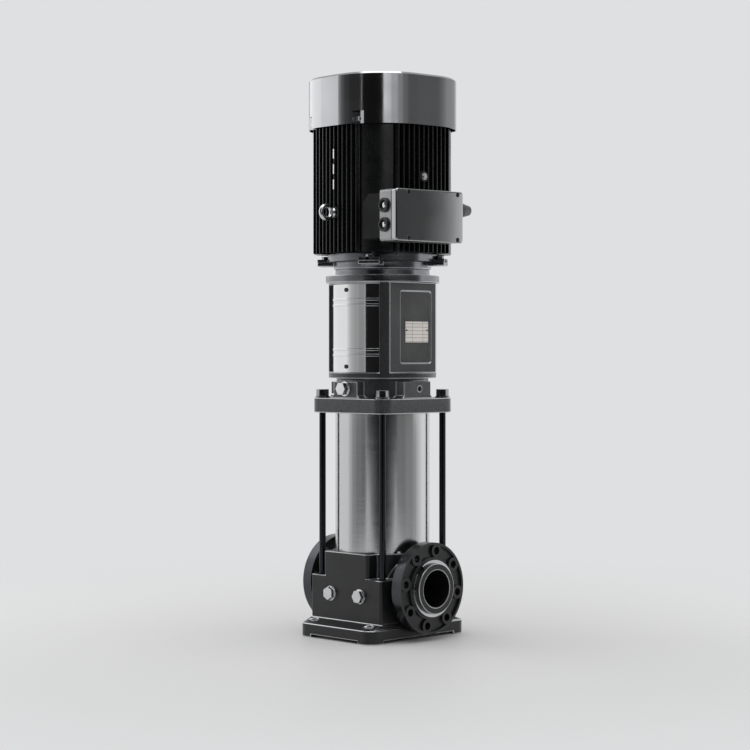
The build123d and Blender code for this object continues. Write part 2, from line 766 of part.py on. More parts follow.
# Motor stool: round casting with two flat faces, two guarded windows and four lugs for the motor
with BuildPart() as motor_stool:
    disc(stool_radius, head_top, stool_band_bottom)
    with Locations((0, 0, stool_foot_top)):
        for side in (-1, 1):
            with Locations((side * stool_flat, 0, 0)):
                Box(stool_radius, 2 * stool_radius, stool_band_bottom - stool_foot_top,
                    align=(Align.MIN if side > 0 else Align.MAX, CENTRE, Align.MIN), mode=Mode.SUBTRACT)
    disc(stool_band_radius, stool_band_bottom, stool_collar_bottom)
    disc(stool_collar_radius - stool_collar_groove, stool_collar_bottom, stool_top)
    disc(stool_collar_radius, stool_collar_bottom, stool_collar_bottom + stool_collar_groove_lift)
    disc(stool_collar_radius, stool_collar_bottom + stool_collar_groove_lift + stool_collar_groove_width,
         stool_top)
    disc(stool_collar_radius + stool_collar_lip, stool_top - stool_lug - stool_collar_lip_height, stool_top)
    slotted_lugs(stool_lug, stool_top - stool_lug, False)
    with BuildSketch(Plane.XY.offset(stool_foot_top)):
        Circle(stool_bay_radius)
        Rectangle(2 * (stool_flat - stool_flat_wall), 2 * stool_radius, mode=Mode.INTERSECT)
    extrude(amount=stool_band_bottom - stool_foot_top, mode=Mode.SUBTRACT)
    disc(seal_plate_radius + radial_clearance, head_top, stool_foot_top, Mode.SUBTRACT)
    disc(stool_throat_radius, stool_band_bottom, stool_top, Mode.SUBTRACT)
    # Windows, with a ledge round each for its guard
    with BuildSketch(Plane.XY.offset(stool_foot_top)):
        for side in (-90, 90):
            ring_slice(side, guard_recess_half_angle, stool_radius + stool_foot, guard_radius)
    extrude(amount=guard_height + 2 * face_clearance, mode=Mode.SUBTRACT)
    with BuildSketch(Plane.XY.offset(guard_bottom + guard_ledge)):
        Rectangle(2 * guard_radius * sin(radians(window_half_angle)), 2 * (stool_radius + stool_foot))
    extrude(amount=guard_height - 2 * guard_ledge, mode=Mode.SUBTRACT)
    with BuildSketch(facing_x(1, stool_flat, panel_middle, panel_shift)):
        RectangleRounded(panel_width, panel_height, panel_corner)
    extrude(amount=-panel_depth, mode=Mode.SUBTRACT)
    for place in stool_screw_places:
        disc(stool_screw_diameter / 2 + bolt_clearance, head_top, stool_foot_top, Mode.SUBTRACT, place)
    with Locations(lug_xy.offset(stool_top)):
        with PolarLocations(lug_circle, 4, start_angle=45):
            Cylinder(flange_bolt_diameter / 2 + thread_clearance, stool_lug,
                     align=DOWN, mode=Mode.SUBTRACT)
    for z in guard_screw_heights:
        with Locations(facing_y(1, 0, z)):
            Cylinder(guard_screw_diameter / 2 + thread_clearance, 2 * guard_radius, mode=Mode.SUBTRACT)
finish(motor_stool, "motor_stool")

with BuildPart() as stool_screws:
    for place in stool_screw_places:
        disc(stool_screw_diameter / 2, head_top - stool_screw_engagement, stool_foot_top, at=place)
        disc(stool_screw_diameter * 0.75, stool_foot_top, stool_foot_top + stool_screw_diameter, at=place)
finish(stool_screws, "stool_screws")


def guard(name, side):
    """Curved polished sheet over a window, with two pairs of pressed beads."""
    with BuildPart() as sheet:
        with BuildSketch(Plane.XY.offset(guard_bottom)):
            ring_slice(side, guard_half_angle, guard_radius + guard_sheet, guard_radius)
        extrude(amount=guard_height)
        for row in guard_bead_rows:
            with BuildSketch(Plane.XY.offset(guard_bottom + row - guard_bead_width / 2)):
                ring_slice(side, guard_half_angle, guard_radius + guard_sheet + guard_bead, guard_radius)
            extrude(amount=guard_bead_width)
        for z in guard_screw_heights:
            with Locations(facing_y(round(sin(radians(side))), 0, z)):
                Cylinder(guard_screw_diameter / 2 + bolt_clearance, 2 * guard_radius, align=UP,
                         mode=Mode.SUBTRACT)
    finish(sheet, name)
    return sheet


guard_front = guard("guard_front", -90)
guard_rear = guard("guard_rear", 90)

with BuildPart() as guard_screws:
    for side in (-1, 1):
        for z in guard_screw_heights:
            with Locations(facing_y(side, guard_radius + guard_sheet, z)):
                Cylinder(guard_screw_head / 2, guard_screw_diameter / 2, align=UP)
                Cylinder(guard_screw_diameter / 2, guard_ledge / 2, align=DOWN)
finish(guard_screws, "guard_screws")

with BuildPart() as rating_plate:
    with Locations(facing_x(1, stool_flat - panel_depth, panel_middle + plate_lift, plate_shift)):
        Box(plate_width, plate_height, plate_sheet, align=UP)
finish(rating_plate, "rating_plate")

# Split coupling that clamps the pump shaft and the motor shaft
journal_radius = bearing_journal_diameter / 2
motor_shaft_radius = motor_shaft_diameter / 2
coupling_screw_heights = (coupling_middle - coupling_screw_spacing / 2,
                          coupling_middle + coupling_screw_spacing / 2)
with BuildPart() as coupling_halves:
    disc(coupling_radius, coupling_bottom, coupling_top)
    disc(shaft_radius, coupling_bottom, coupling_middle, Mode.SUBTRACT)
    disc(motor_shaft_radius, coupling_middle, coupling_top, Mode.SUBTRACT)
    with Locations((0, 0, coupling_bottom)):
        Box(coupling_split, 2 * coupling_radius, coupling_length, align=UP, mode=Mode.SUBTRACT)
    for y in (-coupling_screw_offset, coupling_screw_offset):
        for z in coupling_screw_heights:
            with Locations(Plane(origin=(0, y, z), z_dir=(1, 0, 0))):
                Cylinder(coupling_screw_diameter / 2 + thread_clearance, 2 * coupling_radius,
                         mode=Mode.SUBTRACT)
finish(coupling_halves, "coupling_halves")

screw_reach = sqrt(coupling_radius ** 2 - coupling_screw_offset ** 2)
with BuildPart() as coupling_screws:
    for y in (-coupling_screw_offset, coupling_screw_offset):
        for z in coupling_screw_heights:
            with Locations(Plane(origin=(-screw_reach, y, z), z_dir=(1, 0, 0))):
                Cylinder(coupling_screw_diameter / 2, 2 * screw_reach, align=UP)
finish(coupling_screws, "coupling_screws")

# Drive-end shield: the motor's flange with four lugs and the lower bearing seat
hub_radius = bearing_outer_radius + bearing_hub_wall
with BuildPart() as drive_end_shield:
    disc(shield_radius, shield_bottom, frame_bottom)
    slotted_lugs(shield_lug, shield_bottom, True)
    disc(hub_radius, frame_bottom, frame_bottom + bearing_width)
    disc(bearing_outer_radius, frame_bottom, frame_bottom + bearing_width, Mode.SUBTRACT)
    disc(shaft_port_radius, shield_bottom, frame_bottom, Mode.SUBTRACT)
    with Locations(lug_xy.offset(shield_bottom + shield_lug)):
        with PolarLocations(lug_circle, 4, start_angle=45):
            Cylinder(flange_bolt_across_flats / sqrt(3) + face_clearance, shield_thickness, align=UP,
                     mode=Mode.SUBTRACT)
finish(drive_end_shield, "drive_end_shield")

lug_places = [lug_xy.from_local_coords((*polar(lug_circle, 45 + 90 * turn), 0)) for turn in range(4)]
with BuildPart() as flange_bolts:
    for place in lug_places:
        disc(flange_bolt_diameter / 2, stool_top - stool_lug, stool_top + shield_lug,
             at=(place.X, place.Y))
        hex_head(flange_bolt_across_flats, flange_bolt_head,
                 Plane(origin=(place.X, place.Y, stool_top + shield_lug)), lug_turn)
finish(flange_bolts, "flange_bolts")

# Motor frame: round shell in a rounded-square field of upright fins, smooth at its four corners
with BuildSketch() as side_bulge:
    with BuildLine():
        ThreePointArc((frame_half, -frame_bulge_half), (frame_half + frame_bulge, 0),
                      (frame_half, frame_bulge_half))
        Polyline((frame_half, frame_bulge_half), (fin_root, frame_bulge_half),
                 (fin_root, -frame_bulge_half), (frame_half, -frame_bulge_half))
    make_face()

slot_width = fin_pitch - fin_thickness
last_fin = (fin_count - 1) / 2 * fin_pitch + fin_thickness / 2
with BuildSketch() as side_slots:
    with Locations((fin_root, 0)):
        with GridLocations(1, fin_pitch, 1, fin_count - 1):
            Rectangle(frame_half, slot_width, align=(Align.MIN, CENTRE))
        for side in (-1, 1):
            with Locations((0, side * last_fin)):
                Rectangle(frame_half, fin_field_half - last_fin,
                          align=(Align.MIN, Align.MIN if side > 0 else Align.MAX))

with BuildPart() as motor_frame:
    with BuildSketch(motor_xy.offset(frame_bottom)):
        RectangleRounded(2 * frame_half, 2 * frame_half, frame_corner)
        with PolarLocations(0, 4):
            add(side_bulge.sketch)
        with PolarLocations(0, 4):
            add(side_slots.sketch, mode=Mode.SUBTRACT)
        Circle(frame_shell_radius)
    extrude(amount=frame_height)
    # Pedestal that carries the terminal box, flush with its left side
    with BuildSketch(motor_side(-90, box_width / 2 - box_shift - pedestal_margin,
                                frame_bottom + box_middle)):
        with BuildLine():
            Polyline((box_inner, -pedestal_height / 2), (box_inner, pedestal_height / 2),
                     (pedestal_back + pedestal_notch, pedestal_height / 2),
                     (pedestal_back, pedestal_height / 2 - pedestal_notch),
                     (pedestal_back, -pedestal_height / 2), close=True)
        make_face()
    extrude(amount=-(box_width - pedestal_margin - pedestal_trim))
    with Locations(motor_side(-90, frame_shell_radius - 2 * fin_thickness, frame_bottom + eyebolt_height)):
        Cylinder(eyebolt_boss_radius, eyebolt_boss_face - frame_shell_radius + 2 * fin_thickness, align=UP)
    with Locations(motor_side(-90, eyebolt_boss_face, frame_bottom + eyebolt_height)):
        Cylinder(eyebolt_boss_radius + bolt_clearance, 2 * frame_bulge, align=UP, mode=Mode.SUBTRACT)
    with Locations(motor_side(0, earth_boss_face, frame_bottom + earth_boss_height)):
        with Locations((earth_boss_shift, 0)):
            Cylinder(earth_boss_radius, earth_boss_face - frame_shell_radius + fin_thickness,
                     align=DOWN)
            Cylinder(earth_screw_radius / 2 + thread_clearance, earth_boss_radius,
                     align=DOWN, mode=Mode.SUBTRACT)
    disc(frame_bore_radius, frame_bottom, frame_top, Mode.SUBTRACT)
    with Locations(motor_side(-90, eyebolt_boss_face, frame_bottom + eyebolt_height)):
        Cylinder(eyebolt_shank / 2 + thread_clearance, eyebolt_shank_length, align=DOWN,
                 mode=Mode.SUBTRACT)
    # Fins end lower behind the fan cover's pockets, where bosses take the cover's screws
    for side in (-90, 90):
        with Locations(motor_side(side, cover_pocket_face - face_clearance, cover_bottom)):
            for hand in (-1, 1):
                with Locations((hand * cover_pocket_middle, -bolt_clearance, 0)):
                    Box(cover_pocket_width + 2 * cover_sheet + 2 * bolt_clearance,
                        cover_pocket_height, cover_pocket_reach,
                        align=(CENTRE, Align.MIN, Align.MIN), mode=Mode.SUBTRACT)
        with Locations(motor_side(side, cover_pocket_face - face_clearance,
                                  cover_bottom + cover_screw_lift)):
            with Locations((-cover_screw_offset, 0), (cover_screw_offset, 0)):
                Cylinder(cover_boss_radius, cover_screw_length, align=DOWN)
                Cylinder(cover_screw_diameter / 2 + thread_clearance, cover_screw_length,
                         align=DOWN, mode=Mode.SUBTRACT)
finish(motor_frame, "motor_frame")

with BuildPart() as earth_screw:
    with Locations(motor_side(0, earth_boss_face, frame_bottom + earth_boss_height)):
        with Locations((earth_boss_shift, 0)):
            Cylinder(earth_washer_radius, earth_washer, align=UP)
            Cylinder(earth_screw_radius, earth_washer + earth_screw_head, align=UP)
            Cylinder(earth_screw_radius / 2, earth_boss_radius, align=DOWN)
finish(earth_screw, "earth_screw")

# Three short pads on the crest of the fin beside the middle of the face with the lifting eye
with BuildPart() as fin_pads:
    for lift in fin_pad_heights:
        with Locations(motor_side(-90, frame_half + frame_bulge, frame_bottom + lift)):
            with Locations((fin_pitch / 2, 0)):
                Box(fin_thickness, fin_pad_length, fin_pad_thickness, align=UP)
finish(fin_pads, "fin_pads")

with BuildPart() as lifting_eyebolt:
    seat = motor_side(-90, eyebolt_boss_face, frame_bottom + eyebolt_height)
    ring_middle = seat.offset(eyebolt_collar + eyebolt_ring_radius + eyebolt_ring_section).origin
    with Locations(seat):
        Cylinder(eyebolt_shank / 2, eyebolt_shank_length, align=DOWN)
        Cone(eyebolt_collar_radius, eyebolt_ring_section,
             eyebolt_collar + 1.5 * eyebolt_ring_section, align=UP)
    with BuildSketch(Plane(origin=ring_middle, x_dir=seat.z_dir, z_dir=seat.x_dir)):
        Circle(eyebolt_ring_radius + eyebolt_ring_section)
        Circle(eyebolt_ring_radius - eyebolt_ring_section, mode=Mode.SUBTRACT)
    extrude(amount=eyebolt_ring_section, both=True)
finish(lifting_eyebolt, "lifting_eyebolt")

# Stator, rotor, motor shaft and bearings
stator_bottom = frame_bottom + stator_lift
with BuildPart() as stator_core:
    disc(frame_bore_radius, stator_bottom, stator_bottom + stator_length)
    disc(stator_bore_radius, stator_bottom, stator_bottom + stator_length, Mode.SUBTRACT)
finish(stator_core, "stator_core")

rotor_seat_radius = rotor_seat_diameter / 2
with BuildPart() as rotor_core:
    disc(rotor_radius, stator_bottom, stator_bottom + stator_length)
    disc(rotor_seat_radius, stator_bottom, stator_bottom + stator_length, Mode.SUBTRACT)
finish(rotor_core, "rotor_core")

upper_bearing = frame_top - bearing_width
lower_bearing_top = frame_bottom + bearing_width
fan_bottom = rear_shield_top + fan_gap
with BuildPart() as motor_shaft:
    disc(motor_shaft_radius, coupling_middle + shaft_gap / 2, frame_bottom)
    disc(journal_radius, frame_bottom, lower_bearing_top)
    disc(rotor_seat_radius, lower_bearing_top, upper_bearing)
    disc(journal_radius, upper_bearing, fan_bottom + fan_hub_length)
finish(motor_shaft, "motor_shaft")

bearing_levels = (frame_bottom, upper_bearing)
with BuildPart() as bearing_outer_rings:
    for level in bearing_levels:
        disc(bearing_outer_radius, level, level + bearing_width)
        disc(bearing_seal_radius + running_clearance, level, level + bearing_width, Mode.SUBTRACT)
finish(bearing_outer_rings, "bearing_outer_rings")

with BuildPart() as bearing_inner_rings:
    for level in bearing_levels:
        disc(bearing_seal_radius, level, level + bearing_width)
        disc(journal_radius, level, level + bearing_width, Mode.SUBTRACT)
finish(bearing_inner_rings, "bearing_inner_rings")

with BuildPart() as rear_shield:
    disc(shield_radius, frame_top, rear_shield_top)
    disc(hub_radius, upper_bearing, frame_top)
    disc(bearing_outer_radius, upper_bearing, frame_top, Mode.SUBTRACT)
    disc(shaft_port_radius, frame_top, rear_shield_top, Mode.SUBTRACT)
finish(rear_shield, "rear_shield")

with BuildPart() as cooling_fan:
    disc(fan_hub_radius, fan_bottom, fan_bottom + fan_hub_length)
    for blade in range(fan_blade_count):
        with Locations(Plane.XY.offset(fan_bottom).rotated((0, 0, 360 / fan_blade_count * blade))):
            Box(fan_blade_radius, fan_blade_thickness, fan_blade_height,
                align=(Align.MIN, CENTRE, Align.MIN))
    disc(journal_radius, fan_bottom, fan_bottom + fan_blade_height, Mode.SUBTRACT)
finish(cooling_fan, "cooling_fan")

# Fan cover: pressed sheet, rounded square, slotted top and a pressed pocket at each screw
with BuildPart() as fan_cover:
    with BuildSketch(motor_xy.offset(cover_bottom)):
        RectangleRounded(2 * cover_half, 2 * cover_half, cover_corner)
    extrude(amount=cover_height)
    chamfer(fan_cover.faces().sort_by(Axis.Z)[-1].edges(), cover_edge)
    with BuildSketch(motor_xy.offset(cover_bottom)):
        RectangleRounded(2 * (cover_half - cover_sheet), 2 * (cover_half - cover_sheet),
                         cover_corner - cover_sheet)
    extrude(amount=cover_height - cover_edge, mode=Mode.SUBTRACT)
    with BuildSketch(motor_xy.offset(cover_top - cover_edge)):
        RectangleRounded(2 * (cover_half - cover_edge), 2 * (cover_half - cover_edge),
                         cover_corner - cover_edge)
    extrude(amount=cover_edge - cover_sheet, mode=Mode.SUBTRACT)
    for side in (-90, 90):
        with Locations(motor_side(side, cover_pocket_face, cover_bottom)):
            for hand in (-1, 1):
                with Locations((hand * cover_pocket_middle, 0, 0)):
                    Box(cover_pocket_width + 2 * cover_sheet,
                        cover_pocket_height + cover_sheet, cover_pocket_reach,
                        align=(CENTRE, Align.MIN, Align.MIN))
    with BuildSketch(motor_xy.offset(cover_bottom)):
        Rectangle(3 * cover_half, 3 * cover_half)
        RectangleRounded(2 * cover_half, 2 * cover_half, cover_corner, mode=Mode.SUBTRACT)
    extrude(amount=cover_height, mode=Mode.SUBTRACT)
    for side in (-90, 90):
        with Locations(motor_side(side, cover_pocket_face, cover_bottom)):
            for hand in (-1, 1):
                with Locations((hand * cover_pocket_middle, 0, cover_sheet)):
                    Box(cover_pocket_width, cover_pocket_height, cover_half,
                        align=(CENTRE, Align.MIN, Align.MIN), mode=Mode.SUBTRACT)
            with Locations((-cover_screw_offset, cover_screw_lift, 0),
                           (cover_screw_offset, cover_screw_lift, 0)):
                Cylinder(cover_screw_diameter / 2 + bolt_clearance, cover_half, mode=Mode.SUBTRACT)
    with BuildSketch(motor_xy.offset(cover_top)):
        with GridLocations(1, cover_slot_pitch, 1, cover_slot_rows):
            Rectangle(2 * cover_slot_radius, cover_slot_width)
        Rectangle(cover_slot_rib, 2 * cover_half, mode=Mode.SUBTRACT)
    extrude(amount=-cover_edge, mode=Mode.SUBTRACT)
finish(fan_cover, "fan_cover")

with BuildPart() as fan_cover_screws:
    for side in (-90, 90):
        with Locations(motor_side(side, cover_pocket_face, cover_bottom + cover_screw_lift)):
            with Locations((-cover_screw_offset, 0), (cover_screw_offset, 0)):
                Cylinder(cover_screw_diameter / 2, cover_screw_length, align=DOWN)
            with Locations((-cover_screw_offset, 0, cover_sheet), (cover_screw_offset, 0, cover_sheet)):
                Cylinder(cover_screw_head / 2, cover_screw_diameter / 2, align=UP)
                Cylinder(cover_screw_diameter / 2, cover_sheet, align=DOWN)
finish(fan_cover_screws, "fan_cover_screws")

# Terminal box, its lid, terminal board, entry plugs and cable gland
box_seat = motor_side(0, box_inner, frame_bottom + box_middle)
box_depth = box_outer - box_inner
entry_place = box_inner + entry_plug_depth
lid_screw_places = [(x, y) for x in (lid_screw_left, lid_screw_right)
                    for y in (-lid_screw_rise, lid_screw_rise)]
with BuildPart() as terminal_box:
    with BuildSketch(box_seat):
        with Locations((box_shift, 0)):
            RectangleRounded(box_width, box_height, box_corner)
    extrude(amount=box_depth)
    with BuildSketch(box_seat.offset(box_wall)):
        with Locations((box_shift, 0)):
            RectangleRounded(box_width - 2 * box_wall, box_height - 2 * box_wall, box_corner / 2)
        with Locations(*lid_screw_places):
            Circle(lid_post_radius, mode=Mode.SUBTRACT)
    extrude(amount=box_depth, mode=Mode.SUBTRACT)
    with Locations(box_seat.offset(box_depth)):
        with Locations(*lid_screw_places):
            Cylinder(lid_screw_diameter / 2 + thread_clearance, box_depth / 2,
                     align=DOWN, mode=Mode.SUBTRACT)
    for y in (-entry_plug_spacing / 2, entry_plug_spacing / 2):
        with Locations(motor_side(-90, box_width / 2 - box_shift, frame_bottom + box_middle)):
            with Locations((entry_place, y, 0)):
                Cylinder(entry_plug_diameter / 2 - box_wall, 3 * box_wall, mode=Mode.SUBTRACT)
    with Locations(motor_side(90, box_width / 2 + box_shift, frame_bottom + box_middle)):
        with Locations((-entry_place, gland_lift, 0)):
            Cylinder(gland_diameter / 2 - box_wall, 3 * box_wall, mode=Mode.SUBTRACT)
finish(terminal_box, "terminal_box")

with BuildPart() as terminal_box_gasket:
    with BuildSketch(box_seat.offset(box_depth)):
        with Locations((box_shift, 0)):
            RectangleRounded(box_width - gasket, box_height - gasket, box_corner)
            RectangleRounded(box_width - 2 * box_wall, box_height - 2 * box_wall, box_corner / 2,
                             mode=Mode.SUBTRACT)
    extrude(amount=gasket)
finish(terminal_box_gasket, "terminal_box_gasket")

with BuildPart() as terminal_box_lid:
    with BuildSketch(box_seat.offset(box_depth + gasket)):
        with Locations((box_shift, 0)):
            RectangleRounded(box_width, box_height, box_corner)
    extrude(amount=lid_depth)
    fillet(terminal_box_lid.faces().sort_by(Axis(box_seat.origin, box_seat.z_dir))[-1].edges(), lid_edge)
    with BuildSketch(box_seat.offset(box_depth + gasket)):
        with Locations((box_shift, 0)):
            RectangleRounded(box_width - 2 * box_wall, box_height - 2 * box_wall, box_corner / 2)
        with Locations(*lid_screw_places):
            Circle(lid_post_radius, mode=Mode.SUBTRACT)
    extrude(amount=lid_depth - lid_wall, mode=Mode.SUBTRACT)
    with Locations(box_seat.offset(box_depth + gasket)):
        with Locations(*lid_screw_places):
            Cylinder(lid_screw_diameter / 2 + thread_clearance, lid_depth, align=UP, mode=Mode.SUBTRACT)
    with Locations(box_seat.offset(box_depth + gasket + lid_depth)):
        with Locations(*lid_screw_places):
            Cylinder(lid_recess_radius, lid_recess_depth, align=DOWN, mode=Mode.SUBTRACT)
finish(terminal_box_lid, "terminal_box_lid")

with BuildPart() as lid_screws:
    with Locations(box_seat.offset(box_depth + gasket + lid_depth - lid_recess_depth)):
        with Locations(*lid_screw_places):
            Cylinder(lid_screw_head / 2, lid_wall, align=UP)
            Cylinder(lid_screw_diameter / 2, box_depth / 4 + gasket + lid_depth, align=DOWN)
finish(lid_screws, "lid_screws")

with BuildPart() as terminal_board:
    with Locations(box_seat.offset(box_wall)):
        with Locations((box_shift, 0, 0)):
            Box(terminal_board_width, terminal_board_height, terminal_board_thickness, align=UP)
            with Locations((0, 0, terminal_board_thickness)):
                with GridLocations(terminal_board_width / 3, terminal_board_height / 2, 3, 2):
                    Cylinder(terminal_stud_radius, terminal_stud_height, align=UP)
finish(terminal_board, "terminal_board")

with BuildPart() as cable_entry_plugs:
    with Locations(motor_side(-90, box_width / 2 - box_shift, frame_bottom + box_middle)):
        with Locations((entry_place, -entry_plug_spacing / 2, 0),
                       (entry_place, entry_plug_spacing / 2, 0)):
            Cylinder(entry_plug_diameter / 2, entry_plug_head, align=UP)
            Cylinder(entry_plug_diameter / 2 - box_wall - thread_clearance, box_wall + lid_wall,
                     align=DOWN)
finish(cable_entry_plugs, "cable_entry_plugs")

with BuildPart() as cable_gland:
    with Locations(motor_side(90, box_width / 2 + box_shift, frame_bottom + box_middle)):
        with Locations((-entry_place, gland_lift, 0)):
            Cylinder(gland_diameter / 2, gland_nut_length, align=UP)
            Cylinder(gland_diameter / 2 - box_wall - thread_clearance, box_wall + lid_wall,
                     align=DOWN)
            with Locations((0, 0, gland_nut_length)):
                Cone(gland_diameter / 2, gland_diameter / 3, gland_length - gland_nut_length, align=UP)
            Cylinder(gland_diameter / 4, 3 * gland_length, mode=Mode.SUBTRACT)
finish(cable_gland, "cable_gland")
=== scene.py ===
"""Booster pump set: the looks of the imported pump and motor, in the same frame, in metres."""
import json
import math

import bpy
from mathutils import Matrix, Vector


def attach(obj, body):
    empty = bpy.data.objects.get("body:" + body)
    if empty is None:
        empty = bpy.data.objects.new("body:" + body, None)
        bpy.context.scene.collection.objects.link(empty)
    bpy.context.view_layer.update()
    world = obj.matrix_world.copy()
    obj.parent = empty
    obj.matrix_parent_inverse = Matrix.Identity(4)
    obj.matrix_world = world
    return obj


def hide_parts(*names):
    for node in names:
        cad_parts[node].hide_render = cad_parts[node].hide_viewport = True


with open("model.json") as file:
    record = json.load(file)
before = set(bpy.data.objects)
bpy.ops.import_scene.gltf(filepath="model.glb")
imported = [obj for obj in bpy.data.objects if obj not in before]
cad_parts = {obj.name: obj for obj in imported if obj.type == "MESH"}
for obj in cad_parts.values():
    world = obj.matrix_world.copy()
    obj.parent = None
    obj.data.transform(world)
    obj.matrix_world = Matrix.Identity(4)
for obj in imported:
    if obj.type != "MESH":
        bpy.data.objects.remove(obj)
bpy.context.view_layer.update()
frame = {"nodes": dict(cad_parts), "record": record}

MM = 0.001
body_of = {node: body for body, nodes in frame["record"]["behaviour"]["bodies"].items() for node in nodes}
slot_of = {entry["node"]: entry["material_slot"] for entry in frame["record"]["subparts"]}

# The photograph looks level at the edge between the -Y face (left) and the +X face (right), in metres
PHOTO_AZIMUTH = math.radians(45)
CAMERA_DISTANCE = 4.86
CAMERA_HEIGHT = 0.693
to_camera = Vector((math.sin(PHOTO_AZIMUTH), -math.cos(PHOTO_AZIMUTH), 0))
to_right = Vector((math.cos(PHOTO_AZIMUTH), math.sin(PHOTO_AZIMUTH), 0))
up = Vector((0, 0, 1))

# How far the motor is turned on its flange
MOTOR_TURN = math.radians(-4.2)
# Height of the ports' axis in millimetres
PORT_HEIGHT = 125

# The camera and the glosses see this tone where nothing stands
BACKGROUND = "#dfe0e1"

# Bare turned iron, on the lantern and the motor's flange, and darker on the loose flanges' rims
BARE_REGISTER = "#76787b"
DARK_RIM = "#4c4d50"

# Points closer than this are one point, and faces closer to flat than this angle are one face
WELD = 0.01 * MM
FLAT_ANGLE = math.radians(0.4)
# Edges sharper than the first angle are rounded over, and sharper than the second are shaded as edges
EASED_ANGLE = math.radians(34)
SHARP_ANGLE = math.radians(32)


# Materials

def colour(code):
    """An sRGB hex value as linear light."""
    channels = [int(code[i:i + 2], 16) / 255 for i in (1, 3, 5)]
    linear = [c / 12.92 if c <= 0.04045 else ((c + 0.055) / 1.055) ** 2.4 for c in channels]
    return (*linear, 1.0)


def per_mm(size):
    """The texture scale at which one feature is this many millimetres across."""
    return 1000 / size


def add_node(tree, kind, inputs=None, **settings):
    """Adds a node with its settings and its inputs, each a value or the output that feeds it."""
    node = tree.nodes.new(kind)
    for name, value in settings.items():
        setattr(node, name, value)
    for name, value in (inputs or {}).items():
        if isinstance(value, bpy.types.NodeSocket):
            tree.links.new(value, node.inputs[name])
        else:
            node.inputs[name].default_value = value
    return node


def new_material(name, roughness, metallic=0.0, base="#808080"):
    """A material with its own shader; returns the material, its tree, the shader and Object coordinates."""
    material = bpy.data.materials.new(name)
    material.use_nodes = True
    tree = material.node_tree
    shader = tree.nodes["Principled BSDF"]
    shader.inputs["Base Color"].default_value = colour(base)
    shader.inputs["Roughness"].default_value = roughness
    shader.inputs["Metallic"].default_value = metallic
    place = add_node(tree, "ShaderNodeTexCoord").outputs["Object"]
    return material, tree, shader, place


